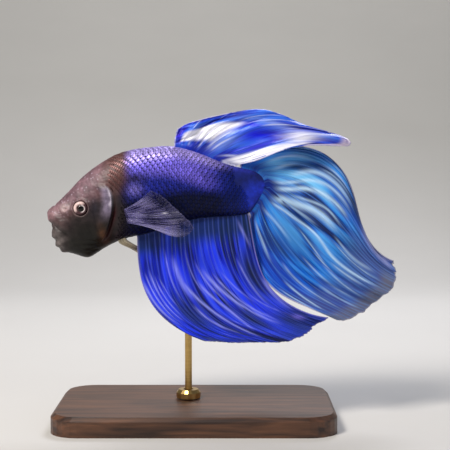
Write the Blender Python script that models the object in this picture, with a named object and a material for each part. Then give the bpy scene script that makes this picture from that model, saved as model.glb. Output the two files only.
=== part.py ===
"""Veil-tailed betta (Betta splendens, male), life size, on a small display stand.

Tables are in millimetres and Blender's scene is in metres. +Z is up, the head points to -X and the
fish's left side faces -Y. The origin is the middle of the stand's underside.

The body is a loft over ribs, like a ship's hull, and is parted into head, jaw, gill covers, trunk and
tail root. Each fin is a sheet spread over a few guide rays, waved in depth, and given a thickness.
"""

import math

import bpy
import numpy as np

MM = 0.001
GAP = 0.3  # clearance between neighbouring pieces

# ---------------------------------------------------------------- body

# Ribs from the mouth to the tail root: top (x, z), bottom (x, z), half width.
RIBS = {
    "mouth": ((-30.3, 41.7), (-30.3, 41.7), 0.0),
    "lips": ((-30.7, 44.2), (-29.5, 38.4), 1.75),
    "chin": ((-29.1, 45.8), (-28.2, 36.0), 2.6),
    "nostril": ((-26.7, 48.1), (-25.9, 35.2), 3.3),
    "eye": ((-23.3, 51.6), (-22.5, 34.3), 3.95),
    "cheek": ((-19.7, 54.3), (-20.0, 35.6), 4.4),
    "gill": ((-16.4, 56.1), (-17.2, 37.2), 4.45),
    "shoulder": ((-12.8, 57.1), (-14.1, 38.4), 4.2),
    "breast": ((-9.0, 57.6), (-10.3, 39.2), 4.0),
    "belly": ((-4.4, 57.7), (-4.8, 41.0), 3.7),
    "vent": ((0.4, 56.5), (0.6, 42.4), 3.2),
    "flank": ((5.3, 54.6), (5.9, 42.8), 2.5),
    "peduncle": ((9.0, 53.5), (9.7, 43.1), 1.9),
    "tail_base": ((12.4, 52.8), (11.9, 43.9), 1.3),
    "tail_root": ((14.4, 51.6), (13.1, 45.6), 0.8),
    "tail_end": ((15.3, 48.8), (15.3, 48.8), 0.0),
}
BODY_RINGS = 38
BODY_SIDES = 24
CHEEK_FULLNESS = 0.10  # how much wider the lower half of a head rib is than its upper half
BACK_FULLNESS = 0.04  # the same on the trunk
SWAY_HEAD = -1.1  # the head turns this far to the left
SWAY_TAIL = 0.9  # and the tail root swings this far to the right
SWAY_STILL_X = -6.0  # between them the body is straight here

# ---------------------------------------------------------------- head pieces

EYE_CENTRE = (-23.6, 44.85)
EYE_RADIUS = 1.5
EYE_FLATTEN = 0.8
EYE_SINK = 0.75  # the ball's centre lies this far inside the cheek's surface
# The lower jaw as seen from the side: mouth line, jaw corner, throat and a point in front of the chin.
JAW_OUTLINE = ((-34.0, 42.4), (-30.5, 41.2), (-25.6, 38.8), (-24.6, 33.0), (-34.0, 33.0))
# A gill cover as seen from the side, from its upper front corner round to its lower front corner.
GILL_OUTLINE = (
    (-20.4, 48.2), (-18.8, 49.6), (-17.3, 47.9), (-17.1, 44.6), (-17.9, 40.0), (-18.7, 38.2), (-20.7, 42.8),
)
GILL_DEPTH = 2.9  # the cover starts this far from the middle plane
GILL_PROUD = 0.35  # and stands this far out of the head
NECK_CUT = ((-15.7, 60.0), (-16.7, 30.0))  # head and trunk part along this line
TAIL_CUT = ((8.4, 60.0), (9.4, 30.0))  # and trunk and tail root along this one
CELL_REACH = 20.0  # cutters reach this far to each side of the middle plane
CELL_LENGTH = 60.0  # and this far along the body

# ---------------------------------------------------------------- fins

FIN_THICK = 0.6  # membrane and rays together
FIN_GRID = {"dorsal_fin": (25, 11), "caudal_fin": (37, 13), "anal_fin": (37, 11)}  # points across and along
PECTORAL_GRID = (10, 7)
PELVIC_GRID = (3, 9)
ROOT_THICK = 0.7  # added at the root, where muscle and scales cover the rays
PECTORAL_ROOT_THICK = 0.2
ROOT_GAP = 0.35  # rays start this far outside the flesh
LEAST_SLANT = 0.6  # a fin that slants is thickened sideways, as far as this cosine of its slant

# A fin's base follows the body's outline from one x to another. Its guide rays are given by their place
# across the fin (0 front or upper edge, 1 rear or lower edge), their length, and their direction at the root,
# one third, two thirds and tip (degrees, 0 tailwards and 90 up).
DORSAL_BASE = (("back", -4.4), ("back", 8.2))
DORSAL_RAYS = {
    0.00: (3.4, 86, 80, 74, 66),
    0.14: (8.8, 62, 51, 40, 26),
    0.28: (17.2, 49, 38, 21, 6),
    0.42: (23.2, 42, 29, 5, -22),
    0.56: (27.0, 34, 22, -1, -16),
    0.70: (28.8, 22, 18, 1, -22),
    0.85: (24.2, 12, 18, 4, -16),
    1.00: (13.4, 0, 20, 22, 4),
}
CAUDAL_BASE = (("back", 9.8), ("belly", 11.8))
CAUDAL_RAYS = {
    0.00: (48.0, 36, -16, -76, -14),
    0.17: (43.4, 34, -25, -71, -28),
    0.36: (36.2, -4, -35, -56, -24),
    0.55: (33.8, -42, -41, -43, -22),
    0.72: (33.4, -62, -50, -38, -20),
    0.87: (32.8, -80, -57, -33, -22),
    1.00: (32.2, -97, -66, -25, -26),
}
CAUDAL_ASIDE = 1.7  # its upper and lower edge pass this far behind the dorsal and anal fins
ANAL_BASE = (("belly", -12.2), ("belly", 11.0))
ANAL_RAYS = {
    0.00: (28.0, -91, -74, -40, -18),
    0.15: (30.6, -86, -74, -37, -14),
    0.35: (35.6, -92, -73, -30, -8),
    0.55: (34.8, -90, -67, -34, -16),
    0.75: (32.8, -88, -67, -37, -14),
    0.90: (30.6, -85, -71, -36, -16),
    1.00: (29.2, -80, -73, -36, -20),
}
PECTORAL_BASE = ((-14.3, 44.8), (-13.1, 41.7))  # on the side, as (x, z)
PECTORAL_RAYS = {
    0.00: (6.8, 28, 32, 40, 42),
    0.30: (9.6, 6, 10, 13, 20),
    0.60: (12.0, -4, 0, 3, 2),
    0.85: (13.2, -8, -10, -9, 4),
    1.00: (11.2, -8, -16, -20, 4),
}
PECTORAL_SPREAD = 2.6  # its margin stands this much further out than its root
PELVIC_BASE = (("belly", -16.0), ("belly", -14.5))
PELVIC_SWING = {"left": (-0.75, 1.45), "right": (0.9, 2.75)}  # y at the root and past the anal fin's front
PELVIC_RAYS = {
    "left": {0.00: (12.6, -31, -27, -24, -20), 1.00: (11.2, -32, -29, -26, -22)},
    "right": {0.00: (13.4, -33, -33, -29, -24), 1.00: (12.0, -34, -34, -31, -26)},
}

# ---------------------------------------------------------------- stand

BASE_SIZE = (58.0, 36.0, 4.0)
BASE_CORNER = 6.0
CORNER_STEPS = 6
BASE_EDGE = 0.8
ROD_RADIUS = 0.75
ROD_PLACE = (-1.5, 1.75)  # behind the anal fin, which leans to the left
ROD_TOP = 46.5  # its tip is let into the belly
ROD_FOOT = 2.0  # and its foot into the base
COLLAR_RADIUS = 2.6
COLLAR_HEIGHT = 1.8
COLLAR_SHOULDER = 1.1  # height of its straight side
COLLAR_CHAMFER = 0.5


# ================================================================ helpers


def natural_spline(at, rows, where):
    """Natural cubic spline through rows (one per value in at), read at the values in where."""
    at = np.asarray(at, float)
    rows = np.asarray(rows, float).reshape(len(at), -1)
    where = np.clip(np.atleast_1d(where), at[0], at[-1])
    step = np.diff(at)
    count = len(at)
    if count == 2:
        share = ((where - at[0]) / step[0])[:, None]
        return rows[0] * (1 - share) + rows[1] * share
    system = np.eye(count)
    bends = np.zeros_like(rows)
    for i in range(1, count - 1):
        system[i, i - 1 : i + 2] = step[i - 1], 2 * (step[i - 1] + step[i]), step[i]
        bends[i] = 6 * ((rows[i + 1] - rows[i]) / step[i] - (rows[i] - rows[i - 1]) / step[i - 1])
    second = np.linalg.solve(system, bends)
    i = np.clip(np.searchsorted(at, where) - 1, 0, count - 2)
    left = (where - at[i])[:, None]
    right = (at[i + 1] - where)[:, None]
    h = step[i][:, None]
    return (
        second[i] * right**3 / (6 * h)
        + second[i + 1] * left**3 / (6 * h)
        + (rows[i] / h - second[i] * h / 6) * right
        + (rows[i + 1] / h - second[i + 1] * h / 6) * left
    )


def sway(x):
    """How far the body's middle plane is bent sideways at x."""
    head = np.clip((SWAY_STILL_X - x) / (SWAY_STILL_X - RIBS["mouth"][0][0]), 0, None)
    tail = np.clip((x - SWAY_STILL_X) / (RIBS["tail_end"][0][0] - SWAY_STILL_X), 0, 1.4)
    return SWAY_HEAD * head**2 + SWAY_TAIL * tail**2


def material(name, colour, roughness, metallic=0.0):
    made = bpy.data.materials.new(name)
    made.use_nodes = True
    shader = made.node_tree.nodes["Principled BSDF"]
    shader.inputs["Base Color"].default_value = (*colour, 1.0)
    shader.inputs["Roughness"].default_value = roughness
    shader.inputs["Metallic"].default_value = metallic
    return made


def add_object(name, points, faces, made_of=None):
    """A mesh object from points in millimetres. With no material it is a hidden cutter or guide."""
    mesh = bpy.data.meshes.new(name)
    mesh.from_pydata((np.asarray(points) * MM).tolist(), [], faces)
    obj = bpy.data.objects.new(name, mesh)
    bpy.context.scene.collection.objects.link(obj)
    if made_of is None:
        obj.hide_render = True
        obj.display_type = "WIRE"
    else:
        mesh.materials.append(made_of)
        mesh.shade_smooth()
        mesh.set_sharp_from_angle(angle=math.radians(50))
    return obj


def combine(obj, operation, *others):
    for other in others:
        modifier = obj.modifiers.new(f"{operation.lower()}_{other.name}", "BOOLEAN")
        modifier.operation = operation
        modifier.solver = "EXACT"
        modifier.object = other
    return obj


def ring_faces(rings, sides):
    """Faces of a closed skin over rings of points, with one pole point before them and one after."""
    first_pole, last_pole = rings * sides, rings * sides + 1
    faces = []
    for k in range(sides):
        following = (k + 1) % sides
        faces.append((first_pole, following, k))
        for r in range(rings - 1):
            a, b = r * sides, (r + 1) * sides
            faces.append((a + k, a + following, b + following, b + k))
        last = (rings - 1) * sides
        faces.append((last_pole, last + k, last + following))
    return faces


def prism(name, outline, low_y, high_y):
    """A convex outline in x and z, given counter-clockwise or clockwise, run from low_y to high_y."""
    outline = np.asarray(outline, float)
    following = np.roll(outline, -1, axis=0)
    area = (outline[:, 0] * following[:, 1] - following[:, 0] * outline[:, 1]).sum()
    if area < 0:
        outline = outline[::-1]
    n = len(outline)
    points = [(x, y, z) for y in (low_y, high_y) for x, z in outline]
    faces = [tuple(range(n)), tuple(range(2 * n - 1, n - 1, -1))]
    for k in range(n):
        after = (k + 1) % n
        faces.append((after, k, n + k, n + after))
    return add_object(name, points, faces)


def grown(outline, by):
    """A convex outline with each side moved outwards."""
    outline = np.asarray(outline, float)
    ahead = np.roll(outline, -1, axis=0) - outline
    area = (outline[:, 0] * ahead[:, 1] - outline[:, 1] * ahead[:, 0]).sum()
    normal = np.stack([ahead[:, 1], -ahead[:, 0]], axis=1) * np.sign(area)
    normal /= np.linalg.norm(normal, axis=1)[:, None]
    before = np.roll(normal, 1, axis=0)
    corner = normal + before
    return outline + corner * (by / (1 + (normal * before).sum(axis=1)))[:, None]


# ================================================================ body


def body_points(grow=0.0):
    """Rings of points over the body, moved out by grow. The first and the last are shrunk to poles."""
    ribs = np.array([(*top, *bottom, half) for top, bottom, half in RIBS.values()])
    steps = np.abs(np.diff(ribs, axis=0))
    spacing = np.hypot(steps[:, 0] + steps[:, 2], steps[:, 1] + steps[:, 3]) / 2 + steps[:, 4] / 2
    along = np.concatenate([[0], np.cumsum(spacing)])
    where = np.linspace(0, along[-1], BODY_RINGS + 2)
    rows = natural_spline(along, ribs, where)
    top, bottom, half = rows[:, 0:2], rows[:, 2:4], np.abs(rows[:, 4])
    turn = 2 * math.pi * np.arange(BODY_SIDES) / BODY_SIDES
    middle, rise = (top + bottom) / 2, (top - bottom) / 2
    cheek_to_belly = (RIBS["eye"][0][0], RIBS["belly"][0][0])
    fullness = np.interp(middle[:, 0], cheek_to_belly, (CHEEK_FULLNESS, BACK_FULLNESS))
    points = np.zeros((len(where), BODY_SIDES, 3))
    points[:, :, 0] = middle[:, 0:1] + rise[:, 0:1] * np.sin(turn)
    points[:, :, 2] = middle[:, 1:2] + rise[:, 1:2] * np.sin(turn)
    points[:, :, 1] = half[:, None] * np.cos(turn) * (1 - fullness[:, None] * np.sin(turn))
    points[:, :, 1] += sway(points[:, :, 0])
    if grow:
        lengthwise = np.gradient(points, axis=0)
        around = (np.roll(points, -1, axis=1) - np.roll(points, 1, axis=1)) / 2
        normal = np.cross(lengthwise, around)
        size = np.linalg.norm(normal, axis=2, keepdims=True)
        outward = points - points.mean(axis=1, keepdims=True)
        normal *= np.sign((normal * outward).sum(axis=2).sum(axis=1))[:, None, None]
        points = points + grow * normal / np.maximum(size, 1e-9)
        points[0] += (-grow, 0, 0)
        points[-1] += (grow, 0, 0)
    return points


def body_solid(name, made_of=None, grow=0.0):
    points = body_points(grow)
    rings, poles = points[1:-1].reshape(-1, 3), points[[0, -1]].mean(axis=1)
    faces = ring_faces(len(points) - 2, BODY_SIDES)
    return add_object(name, np.concatenate([rings, poles]), faces, made_of)


def side_of_cut(cut, side, shift):
    """A large quadrilateral on one side (-1 front, 1 rear) of a line across the body."""
    (top_x, top_z), (low_x, low_z) = cut
    far = CELL_LENGTH * side
    move = shift * side
    return ((top_x + move, top_z), (low_x + move, low_z), (low_x + far, low_z), (top_x + far, top_z))


def surface_depth(x, z):
    """Half width of the body's side at a point of its side view, measured on the finished rings."""
    points = body_points()
    left = points[:, BODY_SIDES // 4 + 1 : 3 * BODY_SIDES // 4].reshape(-1, 3)
    away = np.hypot(left[:, 0] - x, left[:, 2] - z)
    nearest = np.argsort(away)[:4]
    share = 1 / (away[nearest] + 0.05)
    return abs(float((left[nearest, 1] * share).sum() / share.sum()) - float(sway(x)))


def outline_base(start, end, across):
    """Points spread along the body's side outline, and the directions that lead out of the flesh there."""
    rings, quarter = body_points(), BODY_SIDES // 4
    back, belly = rings[:, quarter, ::2], rings[:, 3 * quarter, ::2]
    outline = np.concatenate([back, belly[-2::-1]])
    at = np.concatenate([[0], np.cumsum(np.linalg.norm(np.diff(outline, axis=0), axis=1))])
    ends = []
    for line, x in (start, end):
        found = float(np.interp(x, back[:, 0], at[: len(back)]))
        if line == "belly":
            found = float(np.interp(x, belly[:, 0], at[::-1][: len(belly)]))
        ends.append(found)
    where = np.linspace(*ends, across)
    points = natural_spline(at, outline, where)
    along = np.gradient(points, axis=0) * np.sign(ends[1] - ends[0])
    out = np.stack([-along[:, 1], along[:, 0]], axis=1)
    return points, out / np.linalg.norm(out, axis=1)[:, None]


def eyeball(name, side, radius, made_of=None):
    """A slightly flattened ball, with its pole to the side."""
    x, z = EYE_CENTRE
    y = side * (surface_depth(x, z) - EYE_SINK) + float(sway(x))
    rings, sides = 7, 16
    points = []
    for r in range(1, rings + 1):
        tilt = math.pi * r / (rings + 1)
        for k in range(sides):
            turn = 2 * math.pi * k / sides
            across, proud = radius * math.sin(tilt), radius * EYE_FLATTEN * math.cos(tilt)
            points.append((x + across * math.cos(turn), y + proud, z + across * math.sin(turn)))
    points += [(x, y + radius * EYE_FLATTEN, z), (x, y - radius * EYE_FLATTEN, z)]
    return add_object(name, points, ring_faces(rings, sides), made_of)


def build_body(flesh, gill_flesh, eye_glass):
    """Head, lower jaw, gill covers, eyes, trunk and tail root, parted by thin cuts."""
    half_gap = GAP / 2
    reach = CELL_REACH
    head_cell = prism("cell_head", side_of_cut(NECK_CUT, -1, half_gap), -reach, reach)
    neck_rear = side_of_cut(NECK_CUT, 1, half_gap)
    tail_front = side_of_cut(TAIL_CUT, -1, half_gap)
    trunk_side = (neck_rear[0], neck_rear[1], tail_front[1], tail_front[0])
    trunk_cell = prism("cell_trunk", trunk_side, -reach, reach)
    tail_cell = prism("cell_tail", side_of_cut(TAIL_CUT, 1, half_gap), -reach, reach)

    jaw_cell = prism("cell_jaw", JAW_OUTLINE, -reach, reach)
    jaw_room = prism("room_jaw", grown(JAW_OUTLINE, GAP), -reach, reach)
    head = combine(body_solid("head", flesh), "INTERSECT", head_cell)
    combine(head, "DIFFERENCE", jaw_room)
    combine(body_solid("lower_jaw", flesh), "INTERSECT", jaw_cell)

    for side, word in ((-1, "left"), (1, "right")):
        inner = side * GILL_DEPTH + float(sway(GILL_OUTLINE[0][0]))
        gill_cell = prism(f"cell_gill_{word}", GILL_OUTLINE, *sorted((inner, side * reach)))
        room = sorted((inner - side * GAP, side * reach))
        gill_room = prism(f"room_gill_{word}", grown(GILL_OUTLINE, GAP), *room)
        combine(body_solid(f"gill_cover_{word}", gill_flesh, GILL_PROUD), "INTERSECT", gill_cell)
        combine(head, "DIFFERENCE", gill_room, eyeball(f"socket_{word}", side, EYE_RADIUS + GAP))
        eyeball(f"eye_{word}", side, EYE_RADIUS, eye_glass)

    trunk = combine(body_solid("trunk", flesh), "INTERSECT", trunk_cell)
    combine(trunk, "DIFFERENCE", rod("room_rod", ROD_RADIUS + GAP, ROD_FOOT, ROD_TOP + GAP))
    combine(body_solid("tail_root", flesh), "INTERSECT", tail_cell)


# ================================================================ fins


def ray_grid(roots, rays, along):
    """(across, along, 2) points in x and z on the sheet that the guide rays span from the roots."""
    v = np.linspace(0, 1, along)
    rows = natural_spline(list(rays), list(rays.values()), np.linspace(0, 1, len(roots)))
    length, knots = rows[:, 0:1], np.radians(rows[:, 1:])
    turn = natural_spline((0, 1 / 3, 2 / 3, 1), knots.T, v).T
    middle = (turn[:, 1:] + turn[:, :-1]) / 2
    step = np.stack([np.cos(middle), np.sin(middle)], axis=2) * np.diff(v)[:, None]
    walked = np.concatenate([np.zeros((len(roots), 1, 2)), np.cumsum(step, axis=1)], axis=1)
    return roots[:, None] + walked * length[:, None]


def fin(name, roots, rays, depth, made_of, along, root=ROOT_THICK):
    """A closed sheet over the guide rays, whose y is depth(u across the fin, v along the rays)."""
    across = len(roots)
    flat = ray_grid(roots, rays, along)
    u, v = np.meshgrid(np.linspace(0, 1, across), np.linspace(0, 1, along), indexing="ij")
    y = depth(u, v) + sway(flat[:, :, 0]) * (1 - v) ** 2
    middle = np.stack([flat[:, :, 0], y, flat[:, :, 1]], axis=2)
    normal = np.cross(np.gradient(middle, axis=0), np.gradient(middle, axis=1))
    slant = np.abs(normal[:, :, 1]) / np.linalg.norm(normal, axis=2)
    half = (FIN_THICK + root * np.exp(-((v / 0.16) ** 2))) / np.clip(slant, LEAST_SLANT, 1) / 2
    shift = np.stack([0 * half, half, 0 * half], axis=2) * np.sign(np.median(normal[:, :, 1]))
    points = np.concatenate([(middle + shift).reshape(-1, 3), (middle - shift).reshape(-1, 3)])
    total = across * along
    faces = []
    for i in range(across - 1):
        for j in range(along - 1):
            a, b = i * along + j, (i + 1) * along + j
            faces.append((a, b, b + 1, a + 1))
            faces.append((total + a, total + a + 1, total + b + 1, total + b))
    rim = [i * along for i in range(across)]
    rim += [(across - 1) * along + j for j in range(1, along)]
    rim += [i * along + along - 1 for i in range(across - 2, -1, -1)]
    rim += [j for j in range(along - 2, 0, -1)]
    for a, b in zip(rim, rim[1:] + rim[:1]):
        faces.append((b, a, total + a, total + b))
    return add_object(name, points, faces, made_of)


def wave(u, turns, phase=0.0):
    return np.sin(2 * math.pi * (turns * u + phase))


def dorsal_depth(u, v):
    """The rear half folds over to the left and its crest leans right."""
    lean = 1.3 * np.sin(math.pi * np.clip(u / 0.45, 0, 1)) * v**1.3
    fold = -3.4 * np.clip((u - 0.35) / 0.65, 0, 1) ** 1.3 * np.sin(0.62 * math.pi * v)
    return lean + fold + 0.45 * v * wave(u, 5, 0.1)


def caudal_depth(u, v):
    """Broad folds that grow towards the margin and a fine pleat between rays. Both edges lie to the right."""
    folds = 1.9 * v**1.3 * wave(u, 1.6, 0.16) + 1.0 * v**1.5 * wave(u + 0.25 * v, 2.7, 0.55)
    sweep = -1.6 * np.sin(math.pi * v) * (1 - u)
    aside = CAUDAL_ASIDE * (u**6 + (1 - u) ** 6) * np.sin(math.pi * np.sqrt(v))
    return sweep + folds + aside + 0.32 * v**0.8 * wave(u, 9)


def anal_depth(u, v):
    """Leans to the left as it goes down, clear of the rod, in broad soft folds."""
    lean = -2.3 * v**0.9
    folds = 1.2 * v**1.4 * wave(u + 0.15 * v, 2.0, 0.30)
    return lean + folds + 0.3 * v**0.8 * wave(u, 10)


def pectoral_depth(side):
    """Stands out from the flank."""
    start = surface_depth(*PECTORAL_BASE[0]) + GAP + FIN_THICK / 2

    def depth(u, v):
        return side * (start + PECTORAL_SPREAD * v**0.9 + 0.5 * v * wave(u, 1.5, 0.2))

    return depth


def pelvic_depth(start, end):
    """Both pelvic fins are swept to the right of the anal fin, one outside the other."""

    def depth(u, v):
        swing = np.clip(v / 0.3, 0, 1)
        return start + (end - start) * swing**2 * (3 - 2 * swing) + 1.2 * v**2

    return depth


def fin_on_outline(name, base, rays, depth, made_of, grid, root=ROOT_THICK):
    """A fin whose base follows the body's outline. The grid is its count of points across and along."""
    points, out = outline_base(*base, grid[0])
    return fin(name, points + out * ROOT_GAP, rays, depth, made_of, grid[1], root)


def build_fins(membrane, pale):
    for name, base, rays, depth in (
        ("dorsal_fin", DORSAL_BASE, DORSAL_RAYS, dorsal_depth),
        ("caudal_fin", CAUDAL_BASE, CAUDAL_RAYS, caudal_depth),
        ("anal_fin", ANAL_BASE, ANAL_RAYS, anal_depth),
    ):
        fin_on_outline(name, base, rays, depth, membrane, FIN_GRID[name])
    across, along = PECTORAL_GRID
    for side, word in ((-1, "left"), (1, "right")):
        roots = natural_spline((0, 1), PECTORAL_BASE, np.linspace(0, 1, across))
        name = f"pectoral_fin_{word}"
        fin(name, roots, PECTORAL_RAYS, pectoral_depth(side), pale, along, PECTORAL_ROOT_THICK)
        swung = pelvic_depth(*PELVIC_SWING[word])
        fin_on_outline(f"pelvic_fin_{word}", PELVIC_BASE, PELVIC_RAYS[word], swung, pale, PELVIC_GRID, 0.0)


# ================================================================ stand


def rod(name, radius, low, high, made_of=None, sides=16):
    x, y = ROD_PLACE
    points = []
    for z in (low, high):
        for k in range(sides):
            turn = 2 * math.pi * k / sides
            points.append((x + radius * math.cos(turn), y + radius * math.sin(turn), z))
    faces = [tuple(range(sides - 1, -1, -1)), tuple(range(sides, 2 * sides))]
    for k in range(sides):
        after = (k + 1) % sides
        faces.append((k, after, sides + after, sides + k))
    return add_object(name, points, faces, made_of)


def build_base(wood):
    """A rounded plate with a bevelled upper edge and a blind hole for the rod."""
    length, width, height = BASE_SIZE
    outline = []
    for corner in range(4):
        centre_x = (length / 2 - BASE_CORNER) * (1, -1, -1, 1)[corner]
        centre_y = (width / 2 - BASE_CORNER) * (1, 1, -1, -1)[corner]
        for k in range(CORNER_STEPS + 1):
            turn = math.pi / 2 * (corner + k / CORNER_STEPS)
            reach_x, reach_y = BASE_CORNER * math.cos(turn), BASE_CORNER * math.sin(turn)
            outline.append((centre_x + reach_x, centre_y + reach_y))
    outline = np.array(outline)
    shrink = 1 - BASE_EDGE / np.array([length / 2, width / 2])
    layers = [(outline, 0.0), (outline, height - BASE_EDGE), (outline * shrink, height)]
    points = [(x, y, z) for shape, z in layers for x, y in shape]
    n = len(outline)
    faces = [tuple(range(n - 1, -1, -1)), tuple(range(2 * n, 3 * n))]
    for layer in range(2):
        for k in range(n):
            a, b = layer * n + k, layer * n + (k + 1) % n
            faces.append((a, b, b + n, a + n))
    base = add_object("stand_base", points, faces, wood)
    combine(base, "DIFFERENCE", rod("room_foot", ROD_RADIUS + GAP, ROD_FOOT, 2 * height))


def build_collar(metal):
    """A turned ring round the rod's foot."""
    x, y = ROD_PLACE
    low = BASE_SIZE[2] + GAP
    inner = ROD_RADIUS + GAP
    profile = (
        (inner, low), (COLLAR_RADIUS, low), (COLLAR_RADIUS, low + COLLAR_SHOULDER),
        (COLLAR_RADIUS - COLLAR_CHAMFER, low + COLLAR_HEIGHT), (inner, low + COLLAR_HEIGHT),
    )
    sides, n = 20, len(profile)
    points = []
    for k in range(sides):
        turn = 2 * math.pi * k / sides
        points += [(x + r * math.cos(turn), y + r * math.sin(turn), z) for r, z in profile]
    faces = []
    for k in range(sides):
        a, b = k * n, (k + 1) % sides * n
        for i in range(n):
            j = (i + 1) % n
            faces.append((a + i, b + i, b + j, a + j))
    add_object("stand_collar", points, faces, metal)


# ================================================================ build


def main():
    for obj in list(bpy.data.objects):
        bpy.data.objects.remove(obj)
    flesh = material("scaled_skin", (0.10, 0.08, 0.35), 0.45)
    gill_flesh = material("gill_cover_skin", (0.33, 0.27, 0.31), 0.4)
    eye_glass = material("eye", (0.55, 0.45, 0.47), 0.08)
    membrane = material("blue_fin", (0.02, 0.08, 0.55), 0.35)
    pale = material("pale_fin", (0.30, 0.27, 0.45), 0.35)
    wood = material("walnut", (0.10, 0.05, 0.03), 0.4)
    metal = material("brass", (0.70, 0.52, 0.25), 0.3, 1.0)
    build_body(flesh, gill_flesh, eye_glass)
    build_fins(membrane, pale)
    build_base(wood)
    rod("stand_rod", ROD_RADIUS, ROD_FOOT + GAP, ROD_TOP, metal)
    build_collar(metal)


main()
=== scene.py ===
# %% [markdown]
# # A veil-tailed betta on a display stand
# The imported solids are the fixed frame: they say where everything is and how big it is. This script
# dresses them. One skin takes the place of head, jaw, gill covers, trunk and tail root, scales lie on the
# skin, thin pleated fins with real rays take the place of the solid fins, and the stand gets its wood and
# brass. Lengths are written in millimetres and turned into metres where a mesh is made.

# %% Load the frame
import math

import bpy
import numpy as np
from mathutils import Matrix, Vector


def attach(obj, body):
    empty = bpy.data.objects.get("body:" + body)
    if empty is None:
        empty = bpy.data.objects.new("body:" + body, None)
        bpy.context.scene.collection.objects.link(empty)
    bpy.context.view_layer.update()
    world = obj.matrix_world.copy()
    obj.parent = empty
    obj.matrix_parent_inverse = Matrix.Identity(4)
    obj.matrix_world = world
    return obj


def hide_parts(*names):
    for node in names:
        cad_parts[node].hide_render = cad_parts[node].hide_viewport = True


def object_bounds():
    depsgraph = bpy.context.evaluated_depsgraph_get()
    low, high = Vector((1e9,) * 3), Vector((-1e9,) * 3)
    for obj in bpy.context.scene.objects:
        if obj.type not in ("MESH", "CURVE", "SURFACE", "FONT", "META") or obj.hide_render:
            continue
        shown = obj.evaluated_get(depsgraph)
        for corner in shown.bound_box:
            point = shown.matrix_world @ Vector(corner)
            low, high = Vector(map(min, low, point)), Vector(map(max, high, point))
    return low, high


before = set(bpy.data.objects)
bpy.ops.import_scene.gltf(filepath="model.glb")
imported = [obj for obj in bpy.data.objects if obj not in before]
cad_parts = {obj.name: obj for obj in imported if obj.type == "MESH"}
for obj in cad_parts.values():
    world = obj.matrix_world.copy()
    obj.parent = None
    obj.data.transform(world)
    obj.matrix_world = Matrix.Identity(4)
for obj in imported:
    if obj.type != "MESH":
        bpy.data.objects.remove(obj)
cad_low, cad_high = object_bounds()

MM = 0.001
middle = (cad_low + cad_high) / 2
print("solids' box in mm:", [round(side / MM, 1) for side in cad_high - cad_low])

# %% [markdown]
# ## Camera, floor and light
# A museum shows a small specimen from a little above its own height, and through a long lens, which keeps
# the fins' proportions true. The floor bends up into a backdrop behind, so that no horizon crosses the fish.
# A large soft light from the upper left shapes the body, a weaker one opens the shadows, and one from
# behind gives the fins their bright rims.

# %% Camera
FOCAL_LENGTH, SENSOR_WIDTH = 100.0, 36.0
LENS_DISTANCE = 262.5 * MM
AIM_X = cad_low.x + 37.1 * MM
AIM_Z = middle.z + 8.5 * MM
ELEVATION = math.radians(3.5)
NEAREST, FARTHEST = 0.01, 20.0  # metres that the lens sees


def add_object(name, data):
    """A new object at the origin, put in the scene."""
    made = bpy.data.objects.new(name, data)
    bpy.context.scene.collection.objects.link(made)
    return made


lens = bpy.data.cameras.new("camera")
lens.lens = FOCAL_LENGTH
lens.sensor_width = SENSOR_WIDTH
lens.clip_start = NEAREST
lens.clip_end = FARTHEST
camera = add_object("camera", lens)
level_distance, rise = LENS_DISTANCE * math.cos(ELEVATION), LENS_DISTANCE * math.sin(ELEVATION)
camera.location = (AIM_X, -level_distance, AIM_Z + rise)
camera.rotation_euler = (math.pi / 2 - ELEVATION, 0, 0)
bpy.context.scene.camera = camera
bpy.context.scene.view_settings.view_transform = "Standard"
print("picture is", round(LENS_DISTANCE * SENSOR_WIDTH / FOCAL_LENGTH / MM, 1), "mm wide at the fish")

# %% Colours and nodes


def colour(code, alpha=1.0):
    """A linear colour from an sRGB hex code such as "#7d6257"."""
    shares = [int(code[i : i + 2], 16) / 255 for i in (1, 3, 5)]
    return (*[s / 12.92 if s <= 0.04045 else ((s + 0.055) / 1.055) ** 2.4 for s in shares], alpha)


def add_node(tree, kind, inputs=None, **settings):
    """A new node. Each input is set by its name or number, to a value or from another node's socket."""
    node = tree.nodes.new(kind)
    for name, value in settings.items():
        setattr(node, name, value)
    for socket, value in (inputs or {}).items():
        if isinstance(value, bpy.types.NodeSocket):
            tree.links.new(value, node.inputs[socket])
        else:
            node.inputs[socket].default_value = value
    return node


def new_material(name, look):
    """A new material, its node tree and its Principled shader, with the look's numbers on its sockets."""
    made = bpy.data.materials.new(name)
    made.use_nodes = True
    shader = made.node_tree.nodes["Principled BSDF"]
    for socket, value in look.items():
        shader.inputs[socket].default_value = value
    return made, made.node_tree, shader


print("mid grey is", round(colour("#808080")[0], 3), "in linear light")

# %% Floor and backdrop
# Matt paper from a roll has no gloss. Its clouds are so faint that they only take the flatness away.
PAPER_CLOUDS = 40.0  # across the backdrop's width, so each is about 55 mm


def mesh_object(name, points, faces):
    """A smooth-shaded object at the origin from points in millimetres."""
    mesh = bpy.data.meshes.new(name)
    mesh.from_pydata((np.asarray(points) * MM).tolist(), [], faces)
    mesh.polygons.foreach_set("use_smooth", [True] * len(mesh.polygons))
    return add_object(name, mesh)


def backdrop():
    """A floor that sweeps up behind the object, from its profile in y and z."""
    near, bend, radius, height, half_width = -2500, 240, 240, 900, 1100
    arc = np.linspace(0.1, math.pi / 2, 16)
    line = [(near, 0.0), (bend, 0.0)]
    line += [(bend + radius * math.sin(t), radius * (1 - math.cos(t))) for t in arc]
    line += [(bend + radius, height)]
    points = [(x, y, z) for y, z in line for x in (-half_width, half_width)]
    faces = [(2 * i, 2 * i + 1, 2 * i + 3, 2 * i + 2) for i in range(len(line) - 1)]
    return mesh_object("backdrop", points, faces)


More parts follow.
